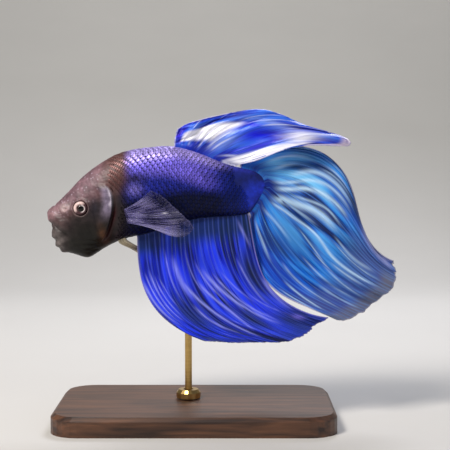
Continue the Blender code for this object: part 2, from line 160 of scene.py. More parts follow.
sweep = backdrop()
paper, tree, shader = new_material("pale_paper", {"Roughness": 0.9})
grain = add_node(tree, "ShaderNodeTexNoise", {"Scale": PAPER_CLOUDS, "Detail": 3.0})
clouded = {0: grain.outputs["Fac"], 6: colour("#c9c7c3"), 7: colour("#d1cfcb")}
shade = add_node(tree, "ShaderNodeMix", clouded, data_type="RGBA")
tree.links.new(shade.outputs[2], shader.inputs["Base Color"])
sweep.data.materials.append(paper)
print("backdrop:", len(sweep.data.polygons), "faces")

# %% Lights and room


def area_light(name, place, power, size, tint, aim_at=middle):
    """A square light at a place in millimetres, aimed at the fish unless told otherwise."""
    lamp = bpy.data.lights.new(name, "AREA")
    lamp.energy = power
    lamp.size = size * MM
    lamp.color = colour(tint)[:3]
    obj = add_object(name, lamp)
    obj.location = [c * MM for c in place]
    aim = obj.location - aim_at
    obj.rotation_euler = aim.to_track_quat("Z", "Y").to_euler()


area_light("key", (-150, -190, 290), 1.32, 110, "#fff9f2")
area_light("fill", (260, -240, 120), 0.10, 220, "#e6eeff")
area_light("rim", (60, 200, 260), 0.55, 130, "#f2f4ff")
wall = Vector((0.0, 480 * MM, 180 * MM))
area_light("wall_wash", (0, 120, 330), 0.50, 300, "#ffffff", wall)
world = bpy.data.worlds.new("soft_room")
world.use_nodes = True
room = world.node_tree.nodes["Background"]
room.inputs["Color"].default_value = colour("#e8ecf2")
room.inputs["Strength"].default_value = 0.20
bpy.context.scene.world = world

# %% [markdown]
# ## The body's hull
# A fish's flesh is one smooth swelling form. It could be sculpted from a ball, but then nothing else would
# know where its surface is. Here ribs across it, each with a top, a bottom and a half width, fix the form
# at a few named places, and a natural spline runs through them, as a shipwright's battens run over frames.
# These are the ribs that the solids were lofted from, so the skin drops into their place, and everything
# on the body (skin, scales, eyes, fin roots) asks the same function where the surface is.

# %% Ribs
RIBS = {  # top (x, z), bottom (x, z), half width
    "mouth": ((-30.3, 41.7), (-30.3, 41.7), 0.0),
    "lips": ((-30.7, 44.2), (-29.5, 38.4), 1.75),
    "chin": ((-29.1, 45.8), (-28.2, 36.0), 2.6),
    "nostril": ((-26.7, 48.1), (-25.9, 35.2), 3.3),
    "eye": ((-23.3, 51.6), (-22.5, 34.3), 3.95),
    "cheek": ((-19.7, 54.3), (-20.0, 35.6), 4.4),
    "gill": ((-16.4, 56.1), (-17.2, 37.2), 4.45),
    "shoulder": ((-12.8, 57.1), (-14.1, 38.4), 4.2),
    "breast": ((-9.0, 57.6), (-10.3, 39.2), 4.0),
    "belly": ((-4.4, 57.7), (-4.8, 41.0), 3.7),
    "vent": ((0.4, 56.5), (0.6, 42.4), 3.2),
    "flank": ((5.3, 54.6), (5.9, 42.8), 2.5),
    "peduncle": ((9.0, 53.5), (9.7, 43.1), 1.9),
    "tail_base": ((12.4, 52.8), (11.9, 43.9), 1.3),
    "tail_root": ((14.4, 51.6), (13.1, 45.6), 0.8),
    "tail_end": ((15.3, 48.8), (15.3, 48.8), 0.0),
}
CHEEK_FULLNESS = 0.10  # how much wider the lower half of a head rib is than its upper half
BACK_FULLNESS = 0.04  # the same from the belly rib to the tail
SWAY_HEAD = -1.1  # the head turns this far to the left
SWAY_TAIL = 0.9  # and the tail root swings this far to the right
SWAY_STILL_X = -6.0  # between the two bends, the body is straight here
SWAY_RUNS_ON = 1.4  # the tail's bend runs on to this share of the way to the tail's end
print("ribs:", ", ".join(RIBS))

# %% Splines


def spline(at, rows, where):
    """Natural cubic spline through rows, one for each value in at, read at the values in where."""
    at = np.asarray(at, float)
    rows = np.asarray(rows, float).reshape(len(at), -1)
    where = np.clip(np.atleast_1d(where), at[0], at[-1])
    step = np.diff(at)
    count = len(at)
    system = np.eye(count)
    bends = np.zeros_like(rows)
    for i in range(1, count - 1):
        system[i, i - 1 : i + 2] = step[i - 1], 2 * (step[i - 1] + step[i]), step[i]
        bends[i] = 6 * ((rows[i + 1] - rows[i]) / step[i] - (rows[i] - rows[i - 1]) / step[i - 1])
    second = np.linalg.solve(system, bends)
    i = np.clip(np.searchsorted(at, where) - 1, 0, count - 2)
    left = (where - at[i])[:, None]
    right = (at[i + 1] - where)[:, None]
    h = step[i][:, None]
    curved = (second[i] * right**3 + second[i + 1] * left**3) / (6 * h)
    from_left = (rows[i] / h - second[i] * h / 6) * right
    from_right = (rows[i + 1] / h - second[i + 1] * h / 6) * left
    return curved + from_left + from_right


print("a spline through 0, 1 and 4 is at", spline((0, 1, 2), (0, 1, 4), 0.5).item(), "after half a step")

# %% Hull


def sway(x):
    """How far the body's middle plane is bent sideways at x."""
    head = np.clip((SWAY_STILL_X - x) / (SWAY_STILL_X - RIBS["mouth"][0][0]), 0, None)
    tail = np.clip((x - SWAY_STILL_X) / (RIBS["tail_end"][0][0] - SWAY_STILL_X), 0, SWAY_RUNS_ON)
    return SWAY_HEAD * head**2 + SWAY_TAIL * tail**2


rib_rows = np.array([(*top, *bottom, half) for top, bottom, half in RIBS.values()])
rib_steps = np.abs(np.diff(rib_rows, axis=0))
rib_travel = np.hypot(rib_steps[:, 0] + rib_steps[:, 2], rib_steps[:, 1] + rib_steps[:, 3]) / 2
rib_at = np.concatenate([[0], np.cumsum(rib_travel + rib_steps[:, 4] / 2)])
HULL_LENGTH = rib_at[-1]


def hull(where, turn):
    """Points at distances where along the hull, and angles turn round it: 0 right, a quarter turn up."""
    rows = spline(rib_at, rib_rows, where)
    top, bottom, half = rows[:, 0:2], rows[:, 2:4], np.abs(rows[:, 4])
    centre, rise = (top + bottom) / 2, (top - bottom) / 2
    cheek_to_back = RIBS["eye"][0][0], RIBS["belly"][0][0]
    fullness = np.interp(centre[:, 0], cheek_to_back, (CHEEK_FULLNESS, BACK_FULLNESS))
    x = centre[:, 0:1] + rise[:, 0:1] * np.sin(turn)
    z = centre[:, 1:2] + rise[:, 1:2] * np.sin(turn)
    y = half[:, None] * np.cos(turn) * (1 - fullness[:, None] * np.sin(turn))
    return np.stack([x, y + sway(x), z], axis=2)


def even_turns(where, count, dense=720):
    """Angles that share each ring's girth evenly, starting at the right side."""
    fine = np.linspace(0, 2 * math.pi, dense + 1)
    rings = hull(where, np.broadcast_to(fine, (len(where), dense + 1)))
    girth = np.cumsum(np.linalg.norm(np.diff(rings, axis=1), axis=2), axis=1)
    girth = np.concatenate([np.zeros((len(where), 1)), girth], axis=1)
    shares = np.arange(count) / count
    return np.array([np.interp(shares * g[-1], g, fine) for g in girth])


print("hull runs", round(HULL_LENGTH, 1), "mm from mouth to tail root")

# %% [markdown]
# ## Shapes for markings and relief
# The head's relief and the fish's colours are both painted with a handful of soft shapes in the side view:
# a step, a bell, a turned oval and a line. A picture wrapped on the body could hold the markings too, but
# painting by place means that skin and scales, which are separate meshes, carry exactly the same ones.

# %% Soft shapes


def soft_step(value, low, high):
    """0 below low, 1 above high, smooth between them. Low may be above high."""
    t = np.clip((value - low) / (high - low), 0, 1)
    return t * t * (3 - 2 * t)


def bell(distance, width):
    """1 at no distance, fallen to a third at the width."""
    return np.exp(-((distance / width) ** 2))


def oval(x, z, centre, radii, turned=0.0):
    """A bell over a turned oval: 1 in the middle, fallen to a third at the radii."""
    c, s = math.cos(math.radians(turned)), math.sin(math.radians(turned))
    a = ((x - centre[0]) * c + (z - centre[1]) * s) / radii[0]
    b = (-(x - centre[0]) * s + (z - centre[1]) * c) / radii[1]
    return np.exp(-(a * a + b * b))


def either(*masks):
    """The strongest of several masks at each place."""
    return np.maximum.reduce(masks)


def from_line(x, z, line):
    """Distance from a line of several points, and the place along it from 0 to 1."""
    line = np.asarray(line, float)
    best, place = np.full(np.shape(x), 1e9), np.zeros(np.shape(x))
    for i, (start, end) in enumerate(zip(line[:-1], line[1:])):
        along = end - start
        t = np.clip(((x - start[0]) * along[0] + (z - start[1]) * along[1]) / (along @ along), 0, 1)
        away = np.hypot(x - start[0] - t * along[0], z - start[1] - t * along[1])
        nearer = away < best
        best = np.where(nearer, away, best)
        place = np.where(nearer, (i + t) / (len(line) - 1), place)
    return best, place


OUTLINE_POINTS = 200
outline_stations = np.linspace(0, HULL_LENGTH, OUTLINE_POINTS)
back_line = spline(rib_at, rib_rows[:, 0:2], outline_stations)
belly_line = spline(rib_at, rib_rows[:, 2:4], outline_stations)


def height_share(x, z):
    """0 at the belly's outline and 1 at the back's, above the same x."""
    low = np.interp(x, belly_line[:, 0], belly_line[:, 1])
    high = np.interp(x, back_line[:, 0], back_line[:, 1])
    return np.clip((z - low) / np.maximum(high - low, 0.5), 0, 1)


print("outline runs from", back_line[0].round(1), "to", back_line[-1].round(1))


# %% [markdown]
# ## Skin
# On a real betta the head is bare, soft skin over bone: full lips, two tubular nostrils, an orbit that
# stands up round the eye, a bony gill cover with a free rear edge, and loose folds under the throat. They
# could be separate pieces, but seams would show, so one dense sheet is moved in and out along its own
# normals instead, as a sculptor works clay. The rings are closest together on the head. The sheet lies
# a little inside the solids, by the depth of the scales.

# %% Head landmarks
COAT_DEPTH = 0.12  # of the scales, by which the skin lies inside the solids
EYE_CENTRE = (-23.6, 44.85)
EYE_RADIUS = 1.5
LIP_NOTCH = (-30.4, 41.6)
LIP_HOLLOWS = (  # above the notch, half height, depth, reach along the head
    (-0.75, 0.75, 0.50, 1.8),
    (0.0, 0.42, 0.45, 1.5),
)
MOUTH_LINE = ((-31.0, 41.8), (-29.5, 41.2), (-27.4, 39.9), (-26.0, 39.1))
NOSTRIL = (-26.75, 44.7)
GILL_EDGE = (
    (-18.9, 50.3), (-17.6, 48.9), (-17.0, 47.0), (-17.0, 44.4), (-17.6, 41.8), (-18.4, 39.4), (-19.6, 37.2),
)
GILL_SLANT = 0.95  # turns a level distance into one square to the gill edge
CHEEK_EDGE = ((-20.9, 48.0), (-20.7, 44.0), (-20.2, 41.0), (-19.4, 38.6))
THROAT_FOLDS = (
    ((-25.3, 38.2), (-22.5, 38.3), (-19.8, 37.9)),
    ((-25.0, 37.1), (-22.0, 37.0), (-19.5, 37.0)),
    ((-24.0, 36.0), (-21.4, 35.9), (-19.2, 36.4)),
)
LIP_GROOVES = (  # course, width, depth
    (((-29.6, 45.8), (-28.5, 44.7), (-27.9, 43.9)), 0.28, 0.22),
    (((-27.0, 43.4), (-26.0, 42.2), (-25.4, 40.6)), 0.40, 0.18),
)
HEAD_FORMS = {  # place, radii, turn, height (a dent's is negative)
    "upper_lip": ((-29.4, 43.6), (1.4, 1.4), -20, 0.30),
    "lip_fold": ((-27.9, 42.0), (1.9, 1.0), -38, 0.30),
    "mouth_corner": ((-27.0, 40.6), (1.6, 0.8), -42, 0.16),
    "lower_lip": ((-28.6, 39.6), (1.5, 0.8), -35, 0.34),
    "chin": ((-27.9, 37.4), (1.2, 1.3), 10, 0.22),
    "top_jaw_lump": ((-29.2, 39.0), (0.75, 0.60), 0, 0.30),
    "middle_jaw_lump": ((-28.5, 37.2), (0.75, 0.60), 0, 0.30),
    "low_jaw_lump": ((-27.6, 35.8), (0.75, 0.60), 0, 0.24),
    "rear_jaw_lump": ((-27.0, 37.9), (0.75, 0.60), 0, 0.14),
    "top_jaw_dent": ((-28.9, 38.1), (0.8, 0.45), 0, -0.22),
    "low_jaw_dent": ((-28.0, 36.4), (0.8, 0.45), 0, -0.22),
    "cheek": ((-22.6, 41.2), (2.4, 1.5), -15, 0.12),
}
print("head has", len(HEAD_FORMS), "swellings and dents,", len(THROAT_FOLDS), "throat folds")

# %% Lines and ripples on the head


def before_gill_edge(x, z):
    """How far a place is in front of the gill cover's free edge, and how far behind if negative."""
    edge = np.array(GILL_EDGE)[::-1]
    line = spline(edge[:, 1], edge[:, 0], np.ravel(z)).reshape(np.shape(z))
    return (line - x) * GILL_SLANT


def ripple(x, z, length, seed, waves=6):
    """Soft uneven bumps about one length apart, from a few crossed waves."""
    turns = np.random.default_rng(seed).uniform(0, 2 * math.pi, (waves, 2))
    total = 0.0
    for direction, phase in turns:
        along = (x * math.cos(direction) + z * math.sin(direction)) * 2 * math.pi / length
        total = total + np.sin(along + phase)
    return total / waves


def fade_at_ends(place):
    """0 at both ends of a line and 1 in its middle."""
    return np.sin(math.pi * np.clip(place, 0.02, 0.98))


print("the eye is", round(float(before_gill_edge(*EYE_CENTRE)), 1), "mm before the gill edge")

# %% Relief of the head


def eye_relief(x, z):
    """A low orbit round a socket, deep enough for the eyeball."""
    from_eye = np.hypot(x - EYE_CENTRE[0], z - EYE_CENTRE[1])
    orbit = 0.20 * bell(from_eye - EYE_RADIUS - 0.25, 0.32)
    return orbit - 1.5 * soft_step(from_eye, EYE_RADIUS + 0.12, EYE_RADIUS - 0.25)


def snout_relief(x, z):
    """Lips, mouth line, jaw, cheek and tubular nostril."""
    away, place = from_line(x, z, MOUTH_LINE)
    relief = -0.12 * bell(away, 0.20) * soft_step(place, 0.05, 0.35) * soft_step(place, 1.0, 0.80)
    for centre, radii, turned, height in HEAD_FORMS.values():
        relief += height * oval(x, z, centre, radii, turned)
    for course, width, depth in LIP_GROOVES:
        relief -= depth * bell(from_line(x, z, course)[0], width)
    from_nostril = np.hypot((x - NOSTRIL[0]) * 0.8, z - NOSTRIL[1])
    return relief + 0.30 * bell(from_nostril, 0.9) - 0.55 * bell(from_nostril, 0.30)


def gill_relief(x, z):
    """The bony cover with its raised rear edge, the slit behind it, and the cheek's edge in front."""
    ahead = before_gill_edge(x, z)
    low_end = soft_step(z, 37.4, 39.0)
    tall = soft_step(z, 50.2, 48.6) * low_end
    open_part = soft_step(z, 48.4, 44.0) * low_end
    cover = 0.36 * soft_step(ahead, -0.05, 0.20) * soft_step(ahead, 3.4, 0.9) * tall
    dimples = 0.05 * ripple(x, z, 1.3, 4) * soft_step(ahead, 0.1, 0.6) * soft_step(ahead, 3.2, 1.6) * tall
    slit = 0.60 * bell(ahead + 0.32, 0.26) * (0.25 * tall + 0.75 * open_part)
    away, place = from_line(x, z, CHEEK_EDGE)
    return cover + dimples - slit - 0.10 * bell(away, 0.30) * fade_at_ends(place)


def throat_relief(x, z):
    """Loose folds of skin under the throat."""
    relief = np.zeros(np.shape(x))
    for fold in THROAT_FOLDS:
        away, place = from_line(x, z, fold)
        relief -= 0.14 * bell(away, 0.22) * fade_at_ends(place) ** 0.5
    return relief


def head_relief(x, z):
    """How far the head's surface stands out from the plain hull, in millimetres."""
    forms = eye_relief(x, z) + snout_relief(x, z) + gill_relief(x, z) + throat_relief(x, z)
    unevenness = 0.045 * ripple(x, z, 1.7, 1) + 0.025 * ripple(x, z, 0.7, 2)
    return forms + soft_step(x, -15.0, -18.5) * unevenness


print("eye sockets are", round(-float(eye_relief(*EYE_CENTRE)), 2), "mm deep")

# %% Build the skin
SKIN_RINGS = 300
SKIN_SIDES = 208
HEAD_RINGS = 0.58  # this share of the rings
HEAD_LENGTH = 0.40  # is on this share of the hull


def skin_grid():
    """Points of the sculpted skin, one row per ring. The first and last ring are single points."""
    share = np.interp(np.linspace(0, 1, SKIN_RINGS + 2), (0, HEAD_RINGS, 1), (0, HEAD_LENGTH, 1))
    where = HULL_LENGTH * share
    points = hull(where, even_turns(where, SKIN_SIDES))
    lengthwise = np.gradient(points, axis=0)
    around = (np.roll(points, -1, axis=1) - np.roll(points, 1, axis=1)) / 2
    normal = np.cross(around, lengthwise)
    outward = points - points.mean(axis=1, keepdims=True)
    normal *= np.sign((normal * outward).sum(axis=2).sum(axis=1))[:, None, None]
    normal /= np.maximum(np.linalg.norm(normal, axis=2, keepdims=True), 1e-9)
    normal[0], normal[-1] = (-1, 0, 0), (1, 0, 0)
    rise = head_relief(points[:, :, 0], points[:, :, 2]) - COAT_DEPTH
    points = points + normal * rise[:, :, None]
    for above, height, depth, reach in LIP_HOLLOWS:
        band = bell(points[:, :, 2] - LIP_NOTCH[1] - above, height)
        points[:, :, 0] += depth * band * bell(points[:, :, 0] - LIP_NOTCH[0], reach)
    return points


def closed_tube(rows):
    """Points and faces of a closed skin over rows of rings, whose first and last row are single points."""
    rings, sides = len(rows) - 2, rows.shape[1]
    points = np.concatenate([rows[1:-1].reshape(-1, 3), rows[[0, -1]].mean(axis=1)])
    first, last = rings * sides, rings * sides + 1
    faces = []
    for k in range(sides):
        after = (k + 1) % sides
        faces.append((first, after, k))
        faces.append((last, (rings - 1) * sides + k, (rings - 1) * sides + after))
        for r in range(rings - 1):
            a, b = r * sides, (r + 1) * sides
            faces.append((a + k, a + after, b + after, b + k))
    return points, faces


skin = mesh_object("skin", *closed_tube(skin_grid()))
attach(skin, "root")
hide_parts("head", "lower_jaw", "gill_cover_left", "gill_cover_right", "trunk", "tail_root")
print("skin:", len(skin.data.polygons), "faces")

# %% [markdown]
# ### Markings
# A betta's head is mauve brown with a dark cheek and pale lips, and its trunk is blue with violet lights.
# Each such marking is a soft mask from 0 to 1. The shader could work them out from coordinates, but here
# Python does it once, from each point's place in the side view, and stores them on the points, so that the
# skin and every scale read the same ones.

# %% Masks on a mesh


def point_coordinates(mesh):
    """x, y and z of a mesh's points, in millimetres."""
    flat = np.zeros(len(mesh.vertices) * 3, np.float32)
    mesh.vertices.foreach_get("co", flat)
    return flat.reshape(-1, 3).astype(float).T / MM


def set_mask(mesh, name, values):
    """Writes a mask, kept from 0 to 1, on a mesh's points."""
    mask = mesh.attributes.new(name, "FLOAT", "POINT")
    mask.data.foreach_set("value", np.clip(values, 0, 1).astype(np.float32))


print("the skin reaches from z =", [round(f(point_coordinates(skin.data)[2]), 1) for f in (min, max)])

# %% Markings


def trunk_markings(x, z):
    """The blues and violets of the trunk, and the browns of nape and crown."""
    high = height_share(x, z)
    trunk = soft_step(x, -15.8, -12.8)
    bright_from = np.interp(x, (-14, -6, 3, 10), (0.72, 0.64, 0.47, 0.52))
    bright = soft_step(high, bright_from - 0.08, bright_from + 0.12)
    flank = soft_step(high, 0.85, 0.45) * soft_step(high, 0.0, 0.2)
    # The trunk is lighter towards the back and darker towards the belly: partly the fish's own
    # countershading, and partly painted light from above and painted shade on the belly. The glint along the
    # back is a painted highlight.
    return {
        "deep_blue": trunk * soft_step(high, 0.34, 0.54) * soft_step(x, 16, 9),
        "violet": trunk * bright * soft_step(x, 6.5, -1.0),
        "peduncle": soft_step(x, 4.0, 8.5) * soft_step(high, 0.98, 0.80),
        "back_glint": trunk * soft_step(high, 0.78, 0.96) * soft_step(x, 9, 2),
        "crest_line": trunk * soft_step(high, 0.93, 0.975),
        "tail_blue": soft_step(x, 8.6, 12.6) * flank,
        # painted shade behind the gill cover's free edge
        "behind_gill": oval(x, z, (-15.2, 43.4), (1.5, 5.4)),
        "gill_shadow": oval(x, z, (-12.4, 50.9), (2.2, 1.1), 4),
        # a painted highlight on the shoulder behind the gill
        "shoulder": oval(x, z, (-12.4, 48.7), (1.5, 1.2)),
        "nape": soft_step(x, -12.6, -15.6) * soft_step(high, 0.45, 0.75),
        "forehead": soft_step(x, -17.0, -21.5) * soft_step(high, 0.52, 0.85),
    }


def head_markings(x, z):
    """The head's painted shade on cheek and throat, under the lips, in the mouth line and behind the eye,
    its pale lips and jaw, and painted highlights on the orbit's upper rim and on the nostril.
    """
    high = height_share(x, z)
    head = soft_step(x, -16.0, -17.5)
    from_eye = np.hypot(x - EYE_CENTRE[0], z - EYE_CENTRE[1])
    lit_upper_front = soft_step(z - 0.4 * x, 51.5, 53.2)
    return {
        # painted shade in the hollow behind the eye
        "temple": oval(x, z, (-20.6, 45.0), (1.7, 2.7)),
        # cheek and throat are darkened as painted shade, for light falling from above
        "cheek": head * oval(x, z, (-22.4, 40.2), (4.8, 3.6), -8),
        "throat": head * soft_step(high, 0.42, 0.15) * soft_step(x, -27.8, -25.6),
        "lip": oval(x, z, (-29.6, 44.0), (1.9, 1.8), -20),
        # painted shade on the underside of the upper lip
        "under_lip": oval(x, z, (-28.2, 42.2), (1.8, 0.9), -38),
        "jaw": oval(x, z, (-28.5, 38.2), (1.6, 2.8), 12),
        # painted shade in the recess of the mouth line and its corner
        "mouth": bell(from_line(x, z, MOUTH_LINE[2:])[0], 0.34),
        # a painted highlight on the orbit's upper front rim, which faces the light
        "orbit": bell(from_eye - EYE_RADIUS - 0.05, 0.20) * lit_upper_front,
        # the nostril's pale rim, with a painted highlight on it
        "nostril": oval(x, z, (-27.0, 45.0), (0.95, 0.75), 30),
    }


def gill_markings(x, z):
    """The silvery rear of the gill cover, its glinting edge, and the red gills that show behind it."""
    ahead = before_gill_edge(x, z)
    uneven_edge = ripple(x, z, 2.0, 21)
    silver = soft_step(ahead, 0.0, 0.3) * soft_step(ahead, 2.7, 0.9)
    glint = bell(ahead - 0.25 - 0.25 * uneven_edge, 0.25 + 0.15 * uneven_edge) * (0.6 + 0.4 * uneven_edge)
    slit = soft_step(ahead, 0.05, -0.10) * soft_step(ahead, -1.5, -0.5)
    return {
        "gill_silver": silver * soft_step(z, 41.5, 45.5) * soft_step(z, 49.8, 48.6),
        "gill_glint": glint * soft_step(z, 44.0, 46.5) * soft_step(z, 49.8, 48.9),
        "rust": oval(x, z, (-18.9, 39.2), (0.9, 1.9), 12),
        "maroon": slit * soft_step(z, 37.2, 38.6) * soft_step(z, 46.5, 43.5),
    }


def paint(mesh):
    """Writes every marking's mask on a mesh's points."""
    x, _, z = point_coordinates(mesh)
    masks = {**trunk_markings(x, z), **head_markings(x, z), **gill_markings(x, z)}
    for name, values in masks.items():
        set_mask(mesh, name, values)


# %% Paint the skin
paint(skin.data)
print("markings:", ", ".join(sorted(a.name for a in skin.data.attributes if a.data_type == "FLOAT")))

# %% [markdown]
# The colours are laid one over the other, each through its own mask, as a model maker sprays them: first
# the dark grounds of head and trunk, then the large fields, and the small lights last.

# %% Body colours
BODY_COLOURS = (  # mask, colour, strength
    # deep blue and violet over the navy ground: partly countershading, partly painted light and shade
    ("deep_blue", "#222a8c", 1.0),
    ("violet", "#7264da", 1.0),
    ("back_glint", "#b2a2ea", 0.8),
    ("peduncle", "#0a195e", 0.9),
    ("tail_blue", "#1a33c4", 0.8),
    # painted shade behind the gill cover's free edge
    ("behind_gill", "#241c1a", 0.9),
    ("gill_shadow", "#2b2230", 0.7),
    # painted highlight on the shoulder
    ("shoulder", "#7a70c4", 0.8),
    ("nape", "#5e3f3d", 1.0),
    ("forehead", "#7a5e68", 0.9),
    # painted shade in the hollow behind the eye
    ("temple", "#1e1b26", 0.9),
    # painted shade on cheek and throat
    ("cheek", "#0d0a07", 0.95),
    ("throat", "#0d0d07", 0.95),
    ("lip", "#927278", 0.9),
    # painted shade under the upper lip
    ("under_lip", "#4a3637", 0.8),
    ("jaw", "#6a6260", 0.9),
    # painted shade in the mouth line
    ("mouth", "#1a1211", 0.6),
    ("rust", "#59361f", 0.8),
    ("gill_silver", "#7c7188", 0.9),
    ("gill_glint", "#e4dcea", 0.8),
    ("maroon", "#2a0b0f", 0.95),
    # the nostril's pale rim and painted highlight
    ("nostril", "#cbb4b4", 0.85),
    # painted highlight on the orbit's upper rim
    ("orbit", "#a58c8c", 0.35),
)


HEAD_ENDS, TRUNK_STARTS = -16.6, -14.4  # the ground changes between these, under the gill slit's shadow


def layered_colour(tree, below, layers):
    """The socket of a colour made of layers, each laid over the last through its mask."""
    for name, code, strength in layers:
        mask = add_node(tree, "ShaderNodeAttribute", attribute_name=name)
        held_back = {0: mask.outputs["Fac"], 1: strength}
        share = add_node(tree, "ShaderNodeMath", held_back, operation="MULTIPLY")
        laid = {0: share.outputs[0], 6: below, 7: colour(code)}
        below = add_node(tree, "ShaderNodeMix", laid, data_type="RGBA").outputs[2]
    return below


def body_ground(tree):
    """Object coordinates, and the ground colour: mauve brown on the head, navy on the trunk."""
    place = add_node(tree, "ShaderNodeTexCoord")
    axes = add_node(tree, "ShaderNodeSeparateXYZ", {0: place.outputs["Object"]})
    back = {0: axes.outputs["X"], 1: HEAD_ENDS * MM, 2: TRUNK_STARTS * MM}
    share = add_node(tree, "ShaderNodeMapRange", back, interpolation_type="SMOOTHSTEP")
    mixed = {0: share.outputs[0], 6: colour("#3a2f31"), 7: colour("#030a32")}
    return place.outputs["Object"], add_node(tree, "ShaderNodeMix", mixed, data_type="RGBA").outputs[2]


print("the body's colour has", len(BODY_COLOURS), "layers")

# %% [markdown]
# ### Skin finish
# Wet fish skin is soft and dull under a thin film of slime: its light is broad, with a faint gloss over
# it. Light scattered below the surface would be truer, but on so dark a skin it hardly shows, so a rough
# shader under a thin coat stands for it. Patches of two sizes and fine pores keep the flesh from looking
# moulded.

# %% Skin finish
SKIN_CLOUD = 1.6  # patches of paler and darker skin, in millimetres
SKIN_MOTTLE = 1.1  # weaker patches over them
CROWN_DOT = 0.8  # from one pale dot on the crown to the next
SKIN_PORE = 0.3  # coarser than real pores, which would not show
PORE_DEPTH = 0.05


def mottled(tree, place, painted, size, roughness, levels):
    """A colour with patches of a size in millimetres multiplied into it. The levels are the noise's low and
    high, and the tones that they become."""
    patches = {"Vector": place, "Scale": 1 / (size * MM), "Detail": 4.0, "Roughness": roughness}
    noise = add_node(tree, "ShaderNodeTexNoise", patches)
    low, high, dark, light = levels
    ranged = {0: noise.outputs["Fac"], 1: low, 2: high, 3: dark, 4: light}
    tone = add_node(tree, "ShaderNodeMapRange", ranged)
    toned = {0: 1.0, 6: painted, 7: tone.outputs[0]}
    return add_node(tree, "ShaderNodeMix", toned, data_type="RGBA", blend_type="MULTIPLY").outputs[2]


def dotted(tree, place, painted):
    """A colour with small pale dots over it where the crown is bare."""
    cells = add_node(tree, "ShaderNodeTexVoronoi", {"Vector": place, "Scale": 1 / (CROWN_DOT * MM)})
    dots = add_node(tree, "ShaderNodeMapRange", {0: cells.outputs["Distance"], 1: 0.30, 2: 0.16})
    crown = add_node(tree, "ShaderNodeAttribute", attribute_name="forehead")
    there = {0: dots.outputs[0], 1: crown.outputs["Fac"]}
    on_crown = add_node(tree, "ShaderNodeMath", there, operation="MULTIPLY")
    faint = add_node(tree, "ShaderNodeMath", {0: on_crown.outputs[0], 1: 0.5}, operation="MULTIPLY")
    flecked = {0: faint.outputs[0], 6: painted, 7: colour("#b9a6b6")}
    return add_node(tree, "ShaderNodeMix", flecked, data_type="RGBA").outputs[2]


skin_look = {"Roughness": 0.46, "Specular IOR Level": 0.22, "Coat Weight": 0.10, "Coat Roughness": 0.3}
skin_finish, tree, shader = new_material("wet_fish_skin", skin_look)
place, ground = body_ground(tree)
painted = layered_colour(tree, ground, BODY_COLOURS)
clouded = mottled(tree, place, painted, SKIN_CLOUD, 0.65, (0.30, 0.70, 0.55, 1.5))
flesh = mottled(tree, place, dotted(tree, place, clouded), SKIN_MOTTLE, 0.5, (0.35, 0.70, 0.78, 1.12))
tree.links.new(flesh, shader.inputs["Base Color"])
fine = {"Vector": place, "Scale": 1 / (SKIN_PORE * MM), "Detail": 2.0}
pores = add_node(tree, "ShaderNodeTexNoise", fine)
pitted = {"Height": pores.outputs["Fac"], "Strength": 0.25, "Distance": PORE_DEPTH * MM}
bump = add_node(tree, "ShaderNodeBump", pitted)
tree.links.new(bump.outputs[0], shader.inputs["Normal"])
skin.data.materials.append(skin_finish)
print("the skin's patches are", SKIN_CLOUD, "and", SKIN_MOTTLE, "mm wide")

# %% [markdown]
# ## Eyes
# A betta's eye is a firm ball that turns in its socket. From outside one sees a black pupil under the
# clear dome of the cornea, a thin silvery line round it, a dark iris, and a thick dark mauve rim, with a
# painted pale pink highlight on its upper side. The ball is turned on a lathe from one profile; the colours
# follow the distance from its axis. It sits as deep as the solids' eye, so that only its front stands out of
# the skin.

# %% Eye shape
EYE_SINK = 0.75  # the ball's centre lies this far inside the cheek
EYE_PROFILE = (  # distance from the axis, height above the centre
    (0.0, 1.22), (0.3, 1.19), (0.55, 1.08), (0.70, 0.97), (0.82, 0.99), (1.0, 1.06), (1.18, 1.02),
    (1.36, 0.78), (1.47, 0.38), (1.5, 0.0), (1.4, -0.5), (1.0, -0.95), (0.5, -1.14), (0.0, -1.2),
)
EYE_RINGS, EYE_SIDES = 44, 56
DENSE_RINGS, DENSE_SIDES = 400, 361
all_round = np.broadcast_to(np.linspace(0, 2 * math.pi, DENSE_SIDES), (DENSE_RINGS, DENSE_SIDES))
dense_hull = hull(np.linspace(0, HULL_LENGTH, DENSE_RINGS), all_round)


def surface_y(x, z, side):
    """Where the plain hull's surface is, at one side of a place in the side view."""
    rows = dense_hull[(dense_hull[:, :, 1] - sway(dense_hull[:, :, 0])) * side > 0]
    nearest = np.argsort(np.hypot(rows[:, 0] - x, rows[:, 2] - z))[:4]
    return float(rows[nearest, 1].mean())


def eye_rows(side):
    """Rings of points from the cornea's top to the ball's back, the axis pointing to one side."""
    x, z = EYE_CENTRE
    y = surface_y(x, z, side) - side * EYE_SINK
    profile = np.array(EYE_PROFILE)
    walked = np.concatenate([[0], np.cumsum(np.hypot(*np.diff(profile, axis=0).T))])
    fine = spline(walked, profile, np.linspace(0, walked[-1], EYE_RINGS))
    fine[[0, -1], 0] = 0.0
    turn = 2 * math.pi * np.arange(EYE_SIDES) / EYE_SIDES
    rows = np.zeros((EYE_RINGS, EYE_SIDES, 3))
    rows[:, :, 0] = x + fine[:, 0:1] * np.cos(turn)
    rows[:, :, 1] = y + side * fine[:, 1:2]
    rows[:, :, 2] = z + side * fine[:, 0:1] * np.sin(turn)
    return rows


print("eyes lie between y =", [round(surface_y(*EYE_CENTRE, side), 2) for side in (-1, 1)])

